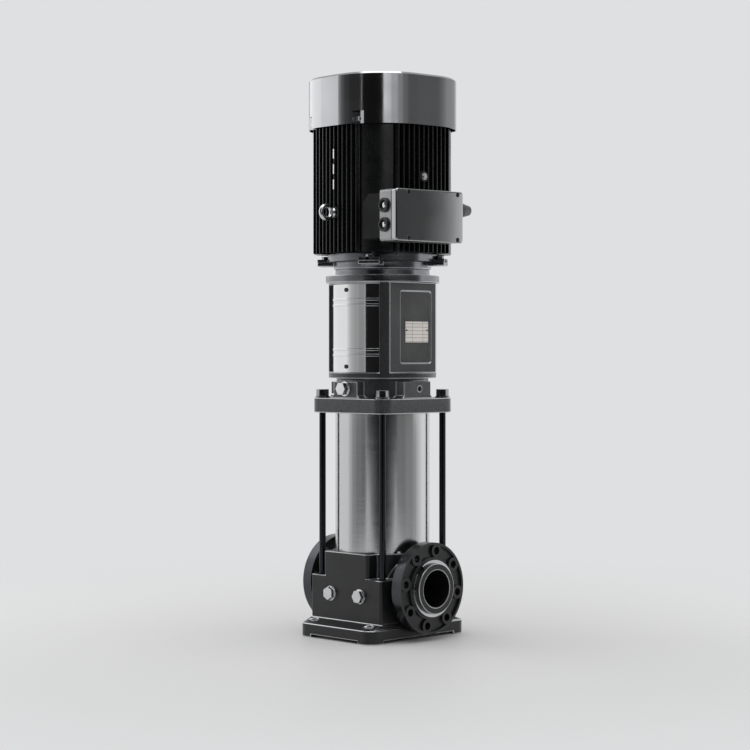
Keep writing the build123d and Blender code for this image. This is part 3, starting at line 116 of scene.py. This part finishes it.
def cast_enamel(name, grain_mm, deep, pale, rough_low, rough_high, grain_height,
                turned=None, rim=None, gloss_level=0.5):
    """Black enamel over sand-cast iron: a pebbled skin with a satin gloss.

    The pebbles are grain_mm wide and grain_height high, and their tone goes from deep to pale. turned gives
    the heights in millimetres between which the skin was cut away on the lathe, and rim the radius about the
    ports beyond which it was. Both leave fine rings and a brighter sheen.
    """
    material, tree, shader, place = new_material(name, 0.4)
    shader.inputs["Specular IOR Level"].default_value = gloss_level
    grain = add_node(tree, "ShaderNodeTexNoise",
                     {"Vector": place, "Scale": per_mm(grain_mm), "Detail": 3.0, "Roughness": 0.55})
    swell = add_node(tree, "ShaderNodeTexNoise", {"Vector": place, "Scale": per_mm(45), "Detail": 2.0})
    gloss = add_node(tree, "ShaderNodeMapRange",
                     {"Value": swell.outputs["Fac"], "From Min": 0.35, "From Max": 0.65,
                      "To Min": rough_low, "To Max": rough_high})
    mottle = add_node(tree, "ShaderNodeMapRange",
                      {"Value": grain.outputs["Fac"], "From Min": 0.38, "From Max": 0.66})
    skin = add_node(tree, "ShaderNodeMix", {"Factor": mottle.outputs["Result"]}, data_type="RGBA")
    skin.inputs[6].default_value = colour(deep)
    skin.inputs[7].default_value = colour(pale)
    bump = add_node(tree, "ShaderNodeBump",
                    {"Height": grain.outputs["Fac"], "Distance": grain_height * MM, "Strength": 1.0})
    broad = add_node(tree, "ShaderNodeBump",
                     {"Height": swell.outputs["Fac"], "Distance": 1.0 * MM, "Strength": 0.5,
                      "Normal": bump.outputs["Normal"]})
    tree.links.new(skin.outputs[2], shader.inputs["Base Color"])
    tree.links.new(gloss.outputs["Result"], shader.inputs["Roughness"])
    tree.links.new(broad.outputs["Normal"], shader.inputs["Normal"])
    if turned or rim:
        if turned:
            height = add_node(tree, "ShaderNodeSeparateXYZ", {"Vector": place}).outputs["Z"]
            above = add_node(tree, "ShaderNodeMath", {0: height, 1: turned[0] * MM}, operation="GREATER_THAN")
            below = add_node(tree, "ShaderNodeMath", {0: height, 1: turned[1] * MM}, operation="LESS_THAN")
            cut = add_node(tree, "ShaderNodeMath", {0: above.outputs[0], 1: below.outputs[0]},
                           operation="MULTIPLY")
            grooves = (0.03, 0.03, 1.0)
        else:
            centred = add_node(tree, "ShaderNodeVectorMath", {0: place, 1: (0, 0, -PORT_HEIGHT * MM)},
                               operation="ADD")
            flat_way = add_node(tree, "ShaderNodeVectorMath", {0: centred.outputs[0], 1: (0, 1, 1)},
                                operation="MULTIPLY")
            reach = add_node(tree, "ShaderNodeVectorMath", {0: flat_way.outputs[0]}, operation="LENGTH")
            cut = add_node(tree, "ShaderNodeMath", {0: reach.outputs["Value"], 1: rim * MM},
                           operation="GREATER_THAN")
            grooves = (1.0, 0.03, 0.03)
        stretched = add_node(tree, "ShaderNodeMapping", {"Vector": place, "Scale": grooves})
        rings = add_node(tree, "ShaderNodeTexNoise",
                         {"Vector": stretched.outputs["Vector"], "Scale": per_mm(2.2), "Detail": 2.0})
        sheen = add_node(tree, "ShaderNodeMapRange",
                         {"Value": rings.outputs["Fac"], "From Min": 0.3, "From Max": 0.7,
                          "To Min": 0.18, "To Max": 0.32})
        iron = add_node(tree, "ShaderNodeMix", {"Factor": cut.outputs[0]}, data_type="RGBA")
        tree.links.new(skin.outputs[2], iron.inputs[6])
        iron.inputs[7].default_value = colour(BARE_REGISTER if turned else DARK_RIM)
        tree.links.new(iron.outputs[2], shader.inputs["Base Color"])
        tree.links.new(cut.outputs[0], shader.inputs["Metallic"])
        blend = add_node(tree, "ShaderNodeMix", {"Factor": cut.outputs[0]}, data_type="FLOAT")
        tree.links.new(gloss.outputs["Result"], blend.inputs[2])
        tree.links.new(sheen.outputs["Result"], blend.inputs[3])
        tree.links.new(blend.outputs[0], shader.inputs["Roughness"])
        fine = add_node(tree, "ShaderNodeBump",
                        {"Height": rings.outputs["Fac"], "Distance": 0.05 * MM, "Strength": 0.6})
        way = add_node(tree, "ShaderNodeMix", {"Factor": cut.outputs[0]}, data_type="VECTOR")
        tree.links.new(broad.outputs["Normal"], way.inputs[4])
        tree.links.new(fine.outputs["Normal"], way.inputs[5])
        tree.links.new(way.outputs[1], shader.inputs["Normal"])
    return material


def sprayed_sheet(name, base, metallic, low, high):
    """Graphite enamel on smooth pressed steel: even, with a metallic sheen and faint orange peel."""
    material, tree, shader, place = new_material(name, 0.25, metallic=metallic, base=base)
    peel = add_node(tree, "ShaderNodeTexNoise", {"Vector": place, "Scale": per_mm(4), "Detail": 1.0})
    haze = add_node(tree, "ShaderNodeTexNoise", {"Vector": place, "Scale": per_mm(70), "Detail": 2.0})
    gloss = add_node(tree, "ShaderNodeMapRange",
                     {"Value": haze.outputs["Fac"], "From Min": 0.35, "From Max": 0.65,
                      "To Min": low, "To Max": high})
    bump = add_node(tree, "ShaderNodeBump",
                    {"Height": peel.outputs["Fac"], "Distance": 0.03 * MM, "Strength": 0.5})
    tree.links.new(gloss.outputs["Result"], shader.inputs["Roughness"])
    tree.links.new(bump.outputs["Normal"], shader.inputs["Normal"])
    return material


def drawn_steel(name, base, low, high, line_mm, stretch, line_height):
    """Bare steel with the fine lines of its making, drawn coarser than real so that they show.

    The lines are line_mm wide and line_height high, and run along the axes on which stretch is small.
    """
    material, tree, shader, place = new_material(name, 0.25, metallic=1.0, base=base)
    turned = add_node(tree, "ShaderNodeMapping", {"Vector": place, "Scale": stretch})
    lines = add_node(tree, "ShaderNodeTexNoise",
                     {"Vector": turned.outputs["Vector"], "Scale": per_mm(line_mm), "Detail": 2.0})
    gloss = add_node(tree, "ShaderNodeMapRange",
                     {"Value": lines.outputs["Fac"], "From Min": 0.3, "From Max": 0.7,
                      "To Min": low, "To Max": high})
    bump = add_node(tree, "ShaderNodeBump",
                    {"Height": lines.outputs["Fac"], "Distance": line_height * MM, "Strength": 0.5})
    tree.links.new(gloss.outputs["Result"], shader.inputs["Roughness"])
    tree.links.new(bump.outputs["Normal"], shader.inputs["Normal"])
    return material


def moulded(name, base, low, high, grain_mm):
    """Moulded plastic or rubber with a fine even grain."""
    material, tree, shader, place = new_material(name, low, base=base)
    grain = add_node(tree, "ShaderNodeTexNoise", {"Vector": place, "Scale": per_mm(grain_mm), "Detail": 2.0})
    gloss = add_node(tree, "ShaderNodeMapRange",
                     {"Value": grain.outputs["Fac"], "To Min": low, "To Max": high})
    bump = add_node(tree, "ShaderNodeBump",
                    {"Height": grain.outputs["Fac"], "Distance": 0.05 * MM, "Strength": 0.5})
    tree.links.new(gloss.outputs["Result"], shader.inputs["Roughness"])
    tree.links.new(bump.outputs["Normal"], shader.inputs["Normal"])
    return material


def ruled_plate(name):
    """A pale anodised plate with plain ruled lines etched into it, and nothing written in them."""
    material, tree, shader, place = new_material(name, 0.4)
    parts = add_node(tree, "ShaderNodeSeparateXYZ", {"Vector": place})
    face = add_node(tree, "ShaderNodeCombineXYZ", {"X": parts.outputs["Y"], "Y": parts.outputs["Z"]})
    cells = add_node(tree, "ShaderNodeTexBrick",
                     {"Vector": face.outputs["Vector"], "Scale": 1.0, "Mortar Size": 0.5 * MM,
                      "Mortar Smooth": 0.2, "Brick Width": 36 * MM, "Row Height": 8.5 * MM,
                      "Color1": colour("#ece5df"), "Color2": colour("#e2dbd5"), "Mortar": colour("#6f6b68")},
                     offset=0.0)
    haze = add_node(tree, "ShaderNodeTexNoise", {"Vector": place, "Scale": per_mm(9), "Detail": 3.0})
    gloss = add_node(tree, "ShaderNodeMapRange",
                     {"Value": haze.outputs["Fac"], "From Min": 0.3, "From Max": 0.7,
                      "To Min": 0.34, "To Max": 0.5})
    etched = add_node(tree, "ShaderNodeBump",
                      {"Height": cells.outputs["Fac"], "Distance": 0.1 * MM, "Strength": 0.5}, invert=True)
    tree.links.new(cells.outputs["Color"], shader.inputs["Base Color"])
    tree.links.new(gloss.outputs["Result"], shader.inputs["Roughness"])
    tree.links.new(etched.outputs["Normal"], shader.inputs["Normal"])
    return material


# Cast iron under black enamel: pebbled and satin on the base; the head is the same enamel painted paler, as
# painted light
casting = cast_enamel("sand_cast_iron_black_enamel", 2.6, "#0d0d0f", "#1c1d1f", 0.28, 0.4, 0.2)
head_iron_painted_light = cast_enamel("sand_cast_head_enamel_painted_light", 2.6, "#28292b", "#4a4b4e", 0.26, 0.38, 0.2)
# Loose flanges whose rim was turned: dark rings of metal round a black face
flange_iron = cast_enamel("cast_iron_turned_rim", 2.6, "#0e0f10", "#1e1f21", 0.28, 0.4, 0.2, rim=107.2)
# The motor's finer casting: almost black, with a closer shine
motor_casting = cast_enamel("fine_cast_iron_black_enamel", 2.4, "#0b0c0d", "#18191b", 0.22, 0.32, 0.08)
# The left side of the terminal box's pedestal is nearly black: painted shade, the motor's enamel made darker
# and duller
pedestal_painted_shade = cast_enamel("fine_cast_iron_painted_shade", 2.4, "#08090a", "#121314", 0.4, 0.5, 0.08,
                           gloss_level=0.12)
# The lantern's top and the motor's flange have turned bands: grey rings of metal between black enamel
stool_iron = cast_enamel("sand_cast_iron_turned_register", 2.6, "#1e1f20", "#3b3c3f", 0.28, 0.4, 0.25,
                         turned=(856.4, 905))
shield_iron = cast_enamel("cast_iron_turned_flange", 2.4, "#141516", "#242527", 0.28, 0.4, 0.12,
                          turned=(907, 925))
# Painted highlight: the rounded edges of the castings take a pale bright metal of their own, which paints in
# the thin bright lines that light draws along their edges
painted_edge_highlight = drawn_steel("cast_iron_edge_painted_highlight", "#c4c6c9", 0.26, 0.38, 3.0,
                             (1.0, 1.0, 1.0), 0.03)
# Graphite enamel with metal in it: a dark mirror on the fan cover and the lid, softer on the terminal box
pressed_graphite = sprayed_sheet("pressed_steel_graphite_enamel", "#a3a4a6", 1.0, 0.11, 0.17)
lid_graphite = sprayed_sheet("die_cast_lid_graphite_enamel", "#a3a4a6", 1.0, 0.07, 0.1)
box_graphite = sprayed_sheet("die_cast_aluminium_graphite_enamel", "#97989a", 0.9, 0.26, 0.34)
# Stainless steel: faint rings round the drawn sleeve, upright lines on the rolled guards, plain sheet inside
sleeve_steel = drawn_steel("drawn_stainless_tube", "#c2c3c4", 0.13, 0.2, 2.6, (0.02, 0.02, 1.0), 0.003)
guard_steel = drawn_steel("bright_rolled_stainless", "#cdcecf", 0.05, 0.1, 2.4, (1.0, 1.0, 0.02), 0.012)
pressed_stainless = drawn_steel("pressed_stainless_sheet", "#a8a9ab", 0.2, 0.34, 4.0, (1.0, 1.0, 1.0), 0.03)
# Fasteners: grey phosphated hexagons, silvery zinc plugs and eyebolt, near-black screws and rods
nut_steel = drawn_steel("phosphated_steel_hexagon", "#8b8d91", 0.16, 0.24, 3.0, (1.0, 1.0, 0.1), 0.004)
bright_zinc = drawn_steel("bright_zinc_plate", "#d2d3d5", 0.16, 0.28, 2.5, (1.0, 1.0, 1.0), 0.02)
black_oxide = drawn_steel("black_oxide_steel", "#3a3b3f", 0.24, 0.38, 3.0, (1.0, 1.0, 0.1), 0.02)
rolled_thread = drawn_steel("black_oxide_bar", "#333438", 0.16, 0.26, 2.0, (1.0, 1.0, 0.03), 0.02)
# Turned and stacked parts inside, with the rings of the lathe or the lines of the stack
ground_steel = drawn_steel("ground_steel", "#a9abad", 0.15, 0.25, 1.0, (0.05, 0.05, 1.0), 0.01)
turned_iron = drawn_steel("turned_grey_iron", "#5a5b5d", 0.32, 0.48, 1.2, (0.05, 0.05, 1.0), 0.04)
stacked_sheet = drawn_steel("stacked_electrical_sheet", "#55575b", 0.35, 0.5, 0.8, (0.01, 0.01, 1.0), 0.1)
bush_bronze = drawn_steel("turned_bronze", "#9a7440", 0.25, 0.4, 1.0, (0.05, 0.05, 1.0), 0.03)
# A pale etched plate, moulded nylon with an even grain, and matt rubber that takes the light without a shine
rating_sheet = ruled_plate("etched_aluminium_plate")
grey_nylon = moulded("moulded_grey_nylon", "#4a4b4d", 0.34, 0.46, 1.5)
black_nylon = moulded("moulded_black_nylon", "#111213", 0.3, 0.46, 1.5)
gasket_rubber = moulded("matt_black_rubber", "#0b0b0c", 0.6, 0.8, 2.0)

finish_of_slot = {
    "black_cast_iron": casting, "black_sheet": pressed_graphite, "stainless_sleeve": sleeve_steel,
    "polished_guard": guard_steel, "stainless_sheet": pressed_stainless, "bright_steel": bright_zinc,
    "dark_steel": black_oxide, "ground_steel": ground_steel, "machined_iron": turned_iron,
    "core_sheet": stacked_sheet, "plate_metal": rating_sheet, "bush_bronze": bush_bronze,
    "gasket_rubber": gasket_rubber, "black_plastic": black_nylon,
}
finish_of_node = {
    "motor_frame": motor_casting, "drive_end_shield": shield_iron, "rear_shield": motor_casting,
    "terminal_box": box_graphite, "terminal_box_lid": lid_graphite, "tie_rods": rolled_thread,
    # The head and its square flange take the paler copy of the base's enamel: painted light
    "motor_stool": stool_iron, "pump_head": head_iron_painted_light, "head_flange_plate": head_iron_painted_light,
    "tie_rod_nuts": nut_steel, "tie_rod_washers": nut_steel, "flange_bolts": nut_steel,
    "discharge_flange": flange_iron, "suction_flange": flange_iron, "cable_gland": grey_nylon,
    "gauge_plug": black_oxide, "guard_screws": black_oxide, "lid_screws": black_oxide,
}


def surface_for(node):
    """The node's own finish, or else the one of its slot."""
    return finish_of_node.get(node, finish_of_slot[slot_of[node]])


def paint(piece, material):
    """Leaves a piece with one finish."""
    piece.data.materials.clear()
    piece.data.materials.append(material)


for node, cad_object in frame["nodes"].items():
    paint(cad_object, surface_for(node))


# Shaping tools

def only(piece):
    """Selects one piece and makes it active."""
    bpy.ops.object.select_all(action="DESELECT")
    piece.select_set(True)
    bpy.context.view_layer.objects.active = piece


def apply_place(piece):
    """Puts a piece's place, turn and size into its mesh."""
    only(piece)
    bpy.ops.object.transform_apply(location=True, rotation=True, scale=True)


def settle(piece, node, material=None):
    """Gives a finished piece its shading, and the finish and body of the node that it belongs to."""
    apply_place(piece)
    bpy.ops.object.shade_smooth_by_angle(angle=SHARP_ANGLE)
    paint(piece, material or surface_for(node))
    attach(piece, body_of[node])


def motor_point(across, out, height):
    """A point given in the turned motor's own axes, in millimetres, as metres in the shared frame."""
    c, s = math.cos(MOTOR_TURN), math.sin(MOTOR_TURN)
    return Vector((across * c - out * s, across * s + out * c, height)) * MM


# Outward from the motor's two sides that the photograph shows
motor_left = motor_point(0, -1000, 0).normalized()
motor_right = motor_point(1000, 0, 0).normalized()


def eased(node, name, edge_mm, highlight_finish=None):
    """The node's own shape with its facets joined into whole faces and its edges rounded over.

    The rounded edges take a painted highlight, a bright finish of their own, if one is given.
    """
    mesh = frame["nodes"][node].data.copy()
    piece = bpy.data.objects.new(name, mesh)
    bpy.context.scene.collection.objects.link(piece)
    only(piece)
    bpy.ops.object.mode_set(mode="EDIT")
    bpy.ops.mesh.select_all(action="SELECT")
    bpy.ops.mesh.remove_doubles(threshold=WELD)
    bpy.ops.mesh.dissolve_limited(angle_limit=FLAT_ANGLE)
    bpy.ops.object.mode_set(mode="OBJECT")
    bevel = piece.modifiers.new("eased_edges", "BEVEL")
    bevel.width = edge_mm * MM
    bevel.segments = 2
    bevel.limit_method = "ANGLE"
    bevel.angle_limit = EASED_ANGLE
    bevel.use_clamp_overlap = False
    paint(piece, surface_for(node))
    if highlight_finish:
        piece.data.materials.append(highlight_finish)
        bevel.material = 1
    bpy.ops.object.modifier_apply(modifier=bevel.name)
    on_edge = [face.index for face in piece.data.polygons if face.material_index == 1]
    settle(piece, node)
    if highlight_finish:
        piece.data.materials.append(highlight_finish)
    for index in on_edge:
        piece.data.polygons[index].material_index = 1
    even = piece.modifiers.new("even_shading", "WEIGHTED_NORMAL")
    even.keep_sharp = True
    even.weight = 100
    bpy.ops.object.modifier_apply(modifier=even.name)
    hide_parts(node)
    return piece


# Castings, sheet parts and hexagons with eased edges

# The rounded edges of the base, the head, its flange and the lantern carry a painted highlight
eased_pieces = {name: eased(node, name, edge_mm, highlight_finish) for node, name, edge_mm, highlight_finish in (
    ("pump_base", "base_casting", 2.0, painted_edge_highlight),
    ("pump_head", "head_casting", 2.0, painted_edge_highlight),
    ("head_flange_plate", "head_square_flange", 2.0, painted_edge_highlight),
    ("motor_stool", "stool_casting", 1.6, painted_edge_highlight),
    ("motor_frame", "motor_finned_body", 0.8, None),
    ("drive_end_shield", "motor_flange_shield", 1.2, None),
    ("terminal_box", "terminal_box_body", 1.2, None),
    ("terminal_box_lid", "terminal_box_cover", 0.8, None),
    ("guard_front", "front_coupling_guard", 0.5, None),
    ("guard_rear", "rear_coupling_guard", 0.5, None),
    ("tie_rod_nuts", "rod_hexagon_nuts", 1.0, None),
    ("flange_bolts", "motor_hexagon_bolts", 0.8, None),
    ("drain_plugs", "drain_hexagon_plugs", 0.9, None),
    ("vent_plug", "vent_hexagon_plug", 0.9, None),
)}

# The side of the terminal box's pedestal takes painted shade, a darker and duller enamel: the faces that look
# left, at more than the first distance to the left and more than the second to the right of the motor's axis,
# in metres
PEDESTAL_SIDE = 0.14
PEDESTAL_ROOT = 0.103
motor_body = eased_pieces["motor_finned_body"]
motor_body.data.materials.append(pedestal_painted_shade)
for face in motor_body.data.polygons:
    on_side = face.normal.dot(motor_left) > 0.9 and face.center.dot(motor_left) > PEDESTAL_SIDE
    if on_side and face.center.dot(motor_right) > PEDESTAL_ROOT:
        face.material_index = 1


# Pieces made new

def lathe(name, outline, steps=48):
    """A round piece turned from (radius, height) points in millimetres about Z."""
    mesh = bpy.data.meshes.new(name)
    points = [(radius * MM, 0, height * MM) for radius, height in outline]
    mesh.from_pydata(points, [(i, i + 1) for i in range(len(points) - 1)], [])
    piece = bpy.data.objects.new(name, mesh)
    bpy.context.scene.collection.objects.link(piece)
    only(piece)
    bpy.ops.object.mode_set(mode="EDIT")
    bpy.ops.mesh.select_all(action="SELECT")
    bpy.ops.mesh.spin(steps=steps, angle=math.tau, center=(0, 0, 0), axis=(0, 0, 1))
    bpy.ops.mesh.select_all(action="SELECT")
    bpy.ops.mesh.remove_doubles(threshold=WELD)
    bpy.ops.mesh.normals_make_consistent(inside=False)
    bpy.ops.object.mode_set(mode="OBJECT")
    return piece


def aim(piece, place, outward):
    """Moves a piece made about Z so that its Z looks outward from a place."""
    piece.matrix_world = outward.to_track_quat("Z", "Y").to_matrix().to_4x4()
    piece.location = place
    apply_place(piece)
    return piece


def joined(pieces, name):
    """One piece from several."""
    only(pieces[0])
    for piece in pieces[1:]:
        piece.select_set(True)
    bpy.ops.object.join()
    pieces[0].name = name
    return pieces[0]


def turned_pieces(name, outline, places, outward, steps=48):
    """One piece made of the same turned shape at several places."""
    return joined([aim(lathe(name, outline, steps), place, outward) for place in places], name)


# Forged lifting eyebolt: a round ring on a coned collar. Its height, and how far its seat and the middle of
# its ring are from the motor's axis, in millimetres
EYEBOLT_HEIGHT = 1022
EYEBOLT_SEAT = 154
EYE_MIDDLE = 177
bpy.ops.object.select_all(action="DESELECT")
bpy.ops.mesh.primitive_torus_add(major_radius=15.8 * MM, minor_radius=5.3 * MM,
                                 major_segments=48, minor_segments=16)
eye_ring = aim(bpy.context.active_object, motor_point(0, -EYE_MIDDLE, EYEBOLT_HEIGHT), motor_right)
eye_stem = lathe("eye_stem", [(0, -17), (6, -17), (6, -0.2), (10, 0), (10.8, 1), (10.8, 3.5), (9, 5.5),
                              (6, 7.5), (4.6, 10), (0, 10.5)])
aim(eye_stem, motor_point(0, -EYEBOLT_SEAT, EYEBOLT_HEIGHT), motor_left)
eyebolt = joined([eye_ring, eye_stem], "forged_lifting_eyebolt")
settle(eyebolt, "lifting_eyebolt")
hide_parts("lifting_eyebolt")

# Blanking plugs in the two cable entries, one above the other in the terminal box's left face: each is a
# rounded rim round a sunk disc
entry_places = [motor_point(186, -154, height) for height in (1029.5, 984.5)]
entry_plugs = turned_pieces("cable_entry_blanks", [
    (0, 1.6), (2.2, 1.6), (3.0, 1.0), (3.2, 0.8), (9.5, 0.8), (10.2, 1.4), (11.2, 5.2), (12.4, 6.2),
    (15.4, 6.2), (16.8, 5.0), (17.0, 3.6), (17.0, 0), (12.8, 0), (12.8, -6.8), (0, -6.8)],
    entry_places, motor_left)
settle(entry_plugs, "cable_entry_plugs")
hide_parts("cable_entry_plugs")

# Bright slotless buttons in the middle of the blanking plugs
entry_buttons = turned_pieces("entry_blank_buttons", [
    (0, 0.6), (6.4, 0.6), (6.6, 1.8), (6.0, 2.6), (3.2, 3.4), (0, 3.6)], entry_places, motor_left)
settle(entry_buttons, "cable_entry_plugs", bright_zinc)

# Two domed rivets, one at each end of the rating plate
plate_rivets = turned_pieces("plate_rivets", [
    (0, -0.4), (2.4, -0.4), (2.4, 0.1), (1.9, 0.8), (0.9, 1.25), (0, 1.35)],
    [Vector((102, across, 740.5)) * MM for across in (-20.0, 50.8)], Vector((1, 0, 0)), steps=24)
settle(plate_rivets, "rating_plate", black_oxide)


# Studio

def away_from_object(tree, place, near, far):
    """Goes from 0 within the near distance of the object's foot to 1 beyond the far distance, in metres."""
    distance = add_node(tree, "ShaderNodeVectorMath", {0: place}, operation="LENGTH")
    return add_node(tree, "ShaderNodeMapRange",
                    {"Value": distance.outputs["Value"], "From Min": near, "From Max": far},
                    interpolation_type="SMOOTHSTEP").outputs["Result"]


def seen_directly(tree):
    """1 for what the camera sees, straight, in a gloss or through glass, and 0 for light on the object."""
    path = add_node(tree, "ShaderNodeLightPath")
    seen = path.outputs["Is Camera Ray"]
    for ray in ("Is Glossy Ray", "Is Transmission Ray"):
        either = add_node(tree, "ShaderNodeMath", {0: seen, 1: path.outputs[ray]}, operation="MAXIMUM")
        seen = either.outputs[0]
    return seen


# Pale floor paint that meets the background with no horizon line. It fades between these distances from the
# object's foot, in metres
FLOOR_NEAR = 0.45
FLOOR_FAR = 1.9
bpy.ops.object.select_all(action="DESELECT")
bpy.ops.mesh.primitive_plane_add(size=60, location=(0, 0, 0))
floor = bpy.context.active_object
floor.name = "studio_floor"
floor_paint, tree, shader, place = new_material("pale_floor_paint", 0.55, base="#dcdcdb")
grit = add_node(tree, "ShaderNodeTexNoise", {"Vector": place, "Scale": per_mm(3), "Detail": 2.0})
grit_bump = add_node(tree, "ShaderNodeBump",
                     {"Height": grit.outputs["Fac"], "Distance": 0.03 * MM, "Strength": 0.4})
tree.links.new(grit_bump.outputs["Normal"], shader.inputs["Normal"])
air = add_node(tree, "ShaderNodeEmission", {"Color": colour(BACKGROUND), "Strength": 1.0})
fade = add_node(tree, "ShaderNodeMath",
                {0: away_from_object(tree, place, FLOOR_NEAR, FLOOR_FAR), 1: seen_directly(tree)},
                operation="MULTIPLY")
mixed = add_node(tree, "ShaderNodeMixShader", {0: fade.outputs[0]})
tree.links.new(shader.outputs[0], mixed.inputs[1])
tree.links.new(air.outputs[0], mixed.inputs[2])
tree.links.new(mixed.outputs[0], tree.nodes["Material Output"].inputs["Surface"])
paint(floor, floor_paint)


def panel(name, place, facing, width, height, radiance):
    """A soft panel light whose face looks as bright as a white of this strength."""
    light = bpy.data.lights.new(name, "AREA")
    light.shape = "RECTANGLE"
    light.size = width
    light.size_y = height
    light.energy = radiance * math.pi * width * height
    lamp = bpy.data.objects.new(name, light)
    bpy.context.scene.collection.objects.link(lamp)
    lamp.location = place
    lamp.rotation_euler = facing.to_track_quat("-Z", "Y").to_euler()
    lamp.visible_camera = False


# Walls of light stand along both sides of the object, in three bands of height and in strips of different
# strength, with one light above. A rear wall of three strips stands high behind the camera for the fan cover.
# Black cloth hangs behind the walls and the camera, and lies on the floor before it. Lengths are in metres.
SIDE_WALL = 1.8
SIDE_WALL_BACK = -3.0
REAR_WALL = 5.3
LOW_BAND = (0.0, 0.52)
MIDDLE_BAND = (0.52, 1.25)
HIGH_BAND = (1.25, 3.0)
REAR_BAND = (1.66, 2.7)


def side_wall(name, aside, band, front, strips):
    """Strips of light beside the object, from a front edge backward: pairs of a back edge and a strength."""
    low, high = band
    for back, radiance in strips:
        place = to_right * aside + to_camera * ((front + back) / 2) + up * ((low + high) / 2)
        panel(name, place, to_right * -aside, front - back, high - low, radiance)
        front = back


def rear_wall(name, band, near, strips):
    """Strips of light behind the camera, from a near edge rightward: pairs of a far edge and a strength."""
    low, high = band
    for far, radiance in strips:
        place = to_camera * REAR_WALL + to_right * ((near + far) / 2) + up * ((low + high) / 2)
        panel(name, place, -to_camera, far - near, high - low, radiance)
        near = far


side_wall("left_wall_low", -SIDE_WALL, LOW_BAND, 2.2,
          ((1.5, 0.16), (0.8, 0.23), (0.4, 0.34), (0.1, 0.6), (SIDE_WALL_BACK, 0.9)))
side_wall("left_wall_middle", -SIDE_WALL, MIDDLE_BAND, 2.2,
          ((1.3, 0.36), (0.8, 0.44), (0.55, 0.53), (0.38, 0.64), (0.25, 0.79), (0.12, 0.95),
           (SIDE_WALL_BACK, 1.1)))
side_wall("left_wall_high", -SIDE_WALL, HIGH_BAND, 2.2,
          ((0.8, 0.035), (0.4, 0.07), (0.15, 0.15), (-0.02, 0.3), (-0.1, 0.7), (-0.18, 1.2),
           (SIDE_WALL_BACK, 1.75)))
side_wall("right_wall_low", SIDE_WALL, LOW_BAND, 2.6,
          ((1.2, 0.24), (0.4, 0.32), (0.1, 0.42), (-0.2, 0.62), (-0.5, 0.85), (SIDE_WALL_BACK, 1.05)))
side_wall("right_wall_middle", SIDE_WALL, MIDDLE_BAND, 2.7,
          ((0.4, 0.09), (0.36, 0.2), (0.33, 0.45), (0.3, 0.9), (0.1, 1.5), (SIDE_WALL_BACK, 1.15)))
side_wall("right_wall_high", SIDE_WALL, HIGH_BAND, 2.7,
          ((1.9, 0.48), (1.3, 0.27), (0.3, 0.165), (0.1, 0.2), (-0.15, 0.28), (-0.4, 0.37),
           (SIDE_WALL_BACK, 0.5)))
rear_wall("rear_wall", REAR_BAND, 0.42, ((1.1, 1.45), (1.9, 1.25), (3.6, 0.85)))
panel("top_panel", to_camera * 0.6 + up * 3.4, -up, 2.4, 2.4, 2.4)

# Black wool cloth with a faint weave: the darkest thing that the object's glosses show
cloth_wool, tree, shader, place = new_material("black_wool_cloth", 0.9, base="#08080a")
weave = add_node(tree, "ShaderNodeTexNoise", {"Vector": place, "Scale": per_mm(5), "Detail": 2.0})
weave_bump = add_node(tree, "ShaderNodeBump",
                      {"Height": weave.outputs["Fac"], "Distance": 0.3 * MM, "Strength": 0.5})
tree.links.new(weave_bump.outputs["Normal"], shader.inputs["Normal"])


def hang_cloth(name, place, facing, width, height):
    """Black cloth that shows in the gloss of the object, and takes no light away from it."""
    bpy.ops.object.select_all(action="DESELECT")
    bpy.ops.mesh.primitive_plane_add(size=1)
    cloth = bpy.context.active_object
    cloth.name = name
    cloth.scale = (width, height, 1.0)
    cloth.rotation_euler = facing.to_track_quat("Z", "Y").to_euler()
    cloth.location = place
    paint(cloth, cloth_wool)
    cloth.visible_camera = False
    cloth.visible_diffuse = False
    cloth.visible_shadow = False


hang_cloth("cloth_behind_camera", to_camera * 5.8 + up * 2.5, -to_camera, 9.4, 5.0)
hang_cloth("cloth_before_camera", to_camera * 4.0 + up * 0.004, up, 3.6, 3.6)
hang_cloth("cloth_at_left", to_right * -1.86 + to_camera * -0.4 + up * 1.5, to_right, 5.3, 3.0)
hang_cloth("cloth_at_right", to_right * 1.86 + to_camera * -0.15 + up * 1.5, -to_right, 5.8, 3.0)

world = bpy.data.worlds.new("studio_air")
bpy.context.scene.world = world
world.use_nodes = True
tree = world.node_tree
soft = tree.nodes["Background"]
soft.inputs["Color"].default_value = colour("#d8d9da")
soft.inputs["Strength"].default_value = 0.55
pale = add_node(tree, "ShaderNodeBackground", {"Color": colour(BACKGROUND), "Strength": 1.0})
mixed = add_node(tree, "ShaderNodeMixShader", {0: seen_directly(tree)})
tree.links.new(soft.outputs[0], mixed.inputs[1])
tree.links.new(pale.outputs[0], mixed.inputs[2])
tree.links.new(mixed.outputs[0], tree.nodes["World Output"].inputs["Surface"])

camera_data = bpy.data.cameras.new("photo_camera")
camera_data.sensor_width = 36
camera_data.lens = 95.5
camera_data.shift_x = -0.01
camera_data.shift_y = -0.0333
camera_data.clip_end = 60
camera = bpy.data.objects.new("photo_camera", camera_data)
bpy.context.scene.collection.objects.link(camera)
camera.location = to_camera * CAMERA_DISTANCE + up * CAMERA_HEIGHT
camera.rotation_euler = (math.radians(90), 0, PHOTO_AZIMUTH)
bpy.context.scene.camera = camera

bpy.context.scene.view_settings.view_transform = "Standard"
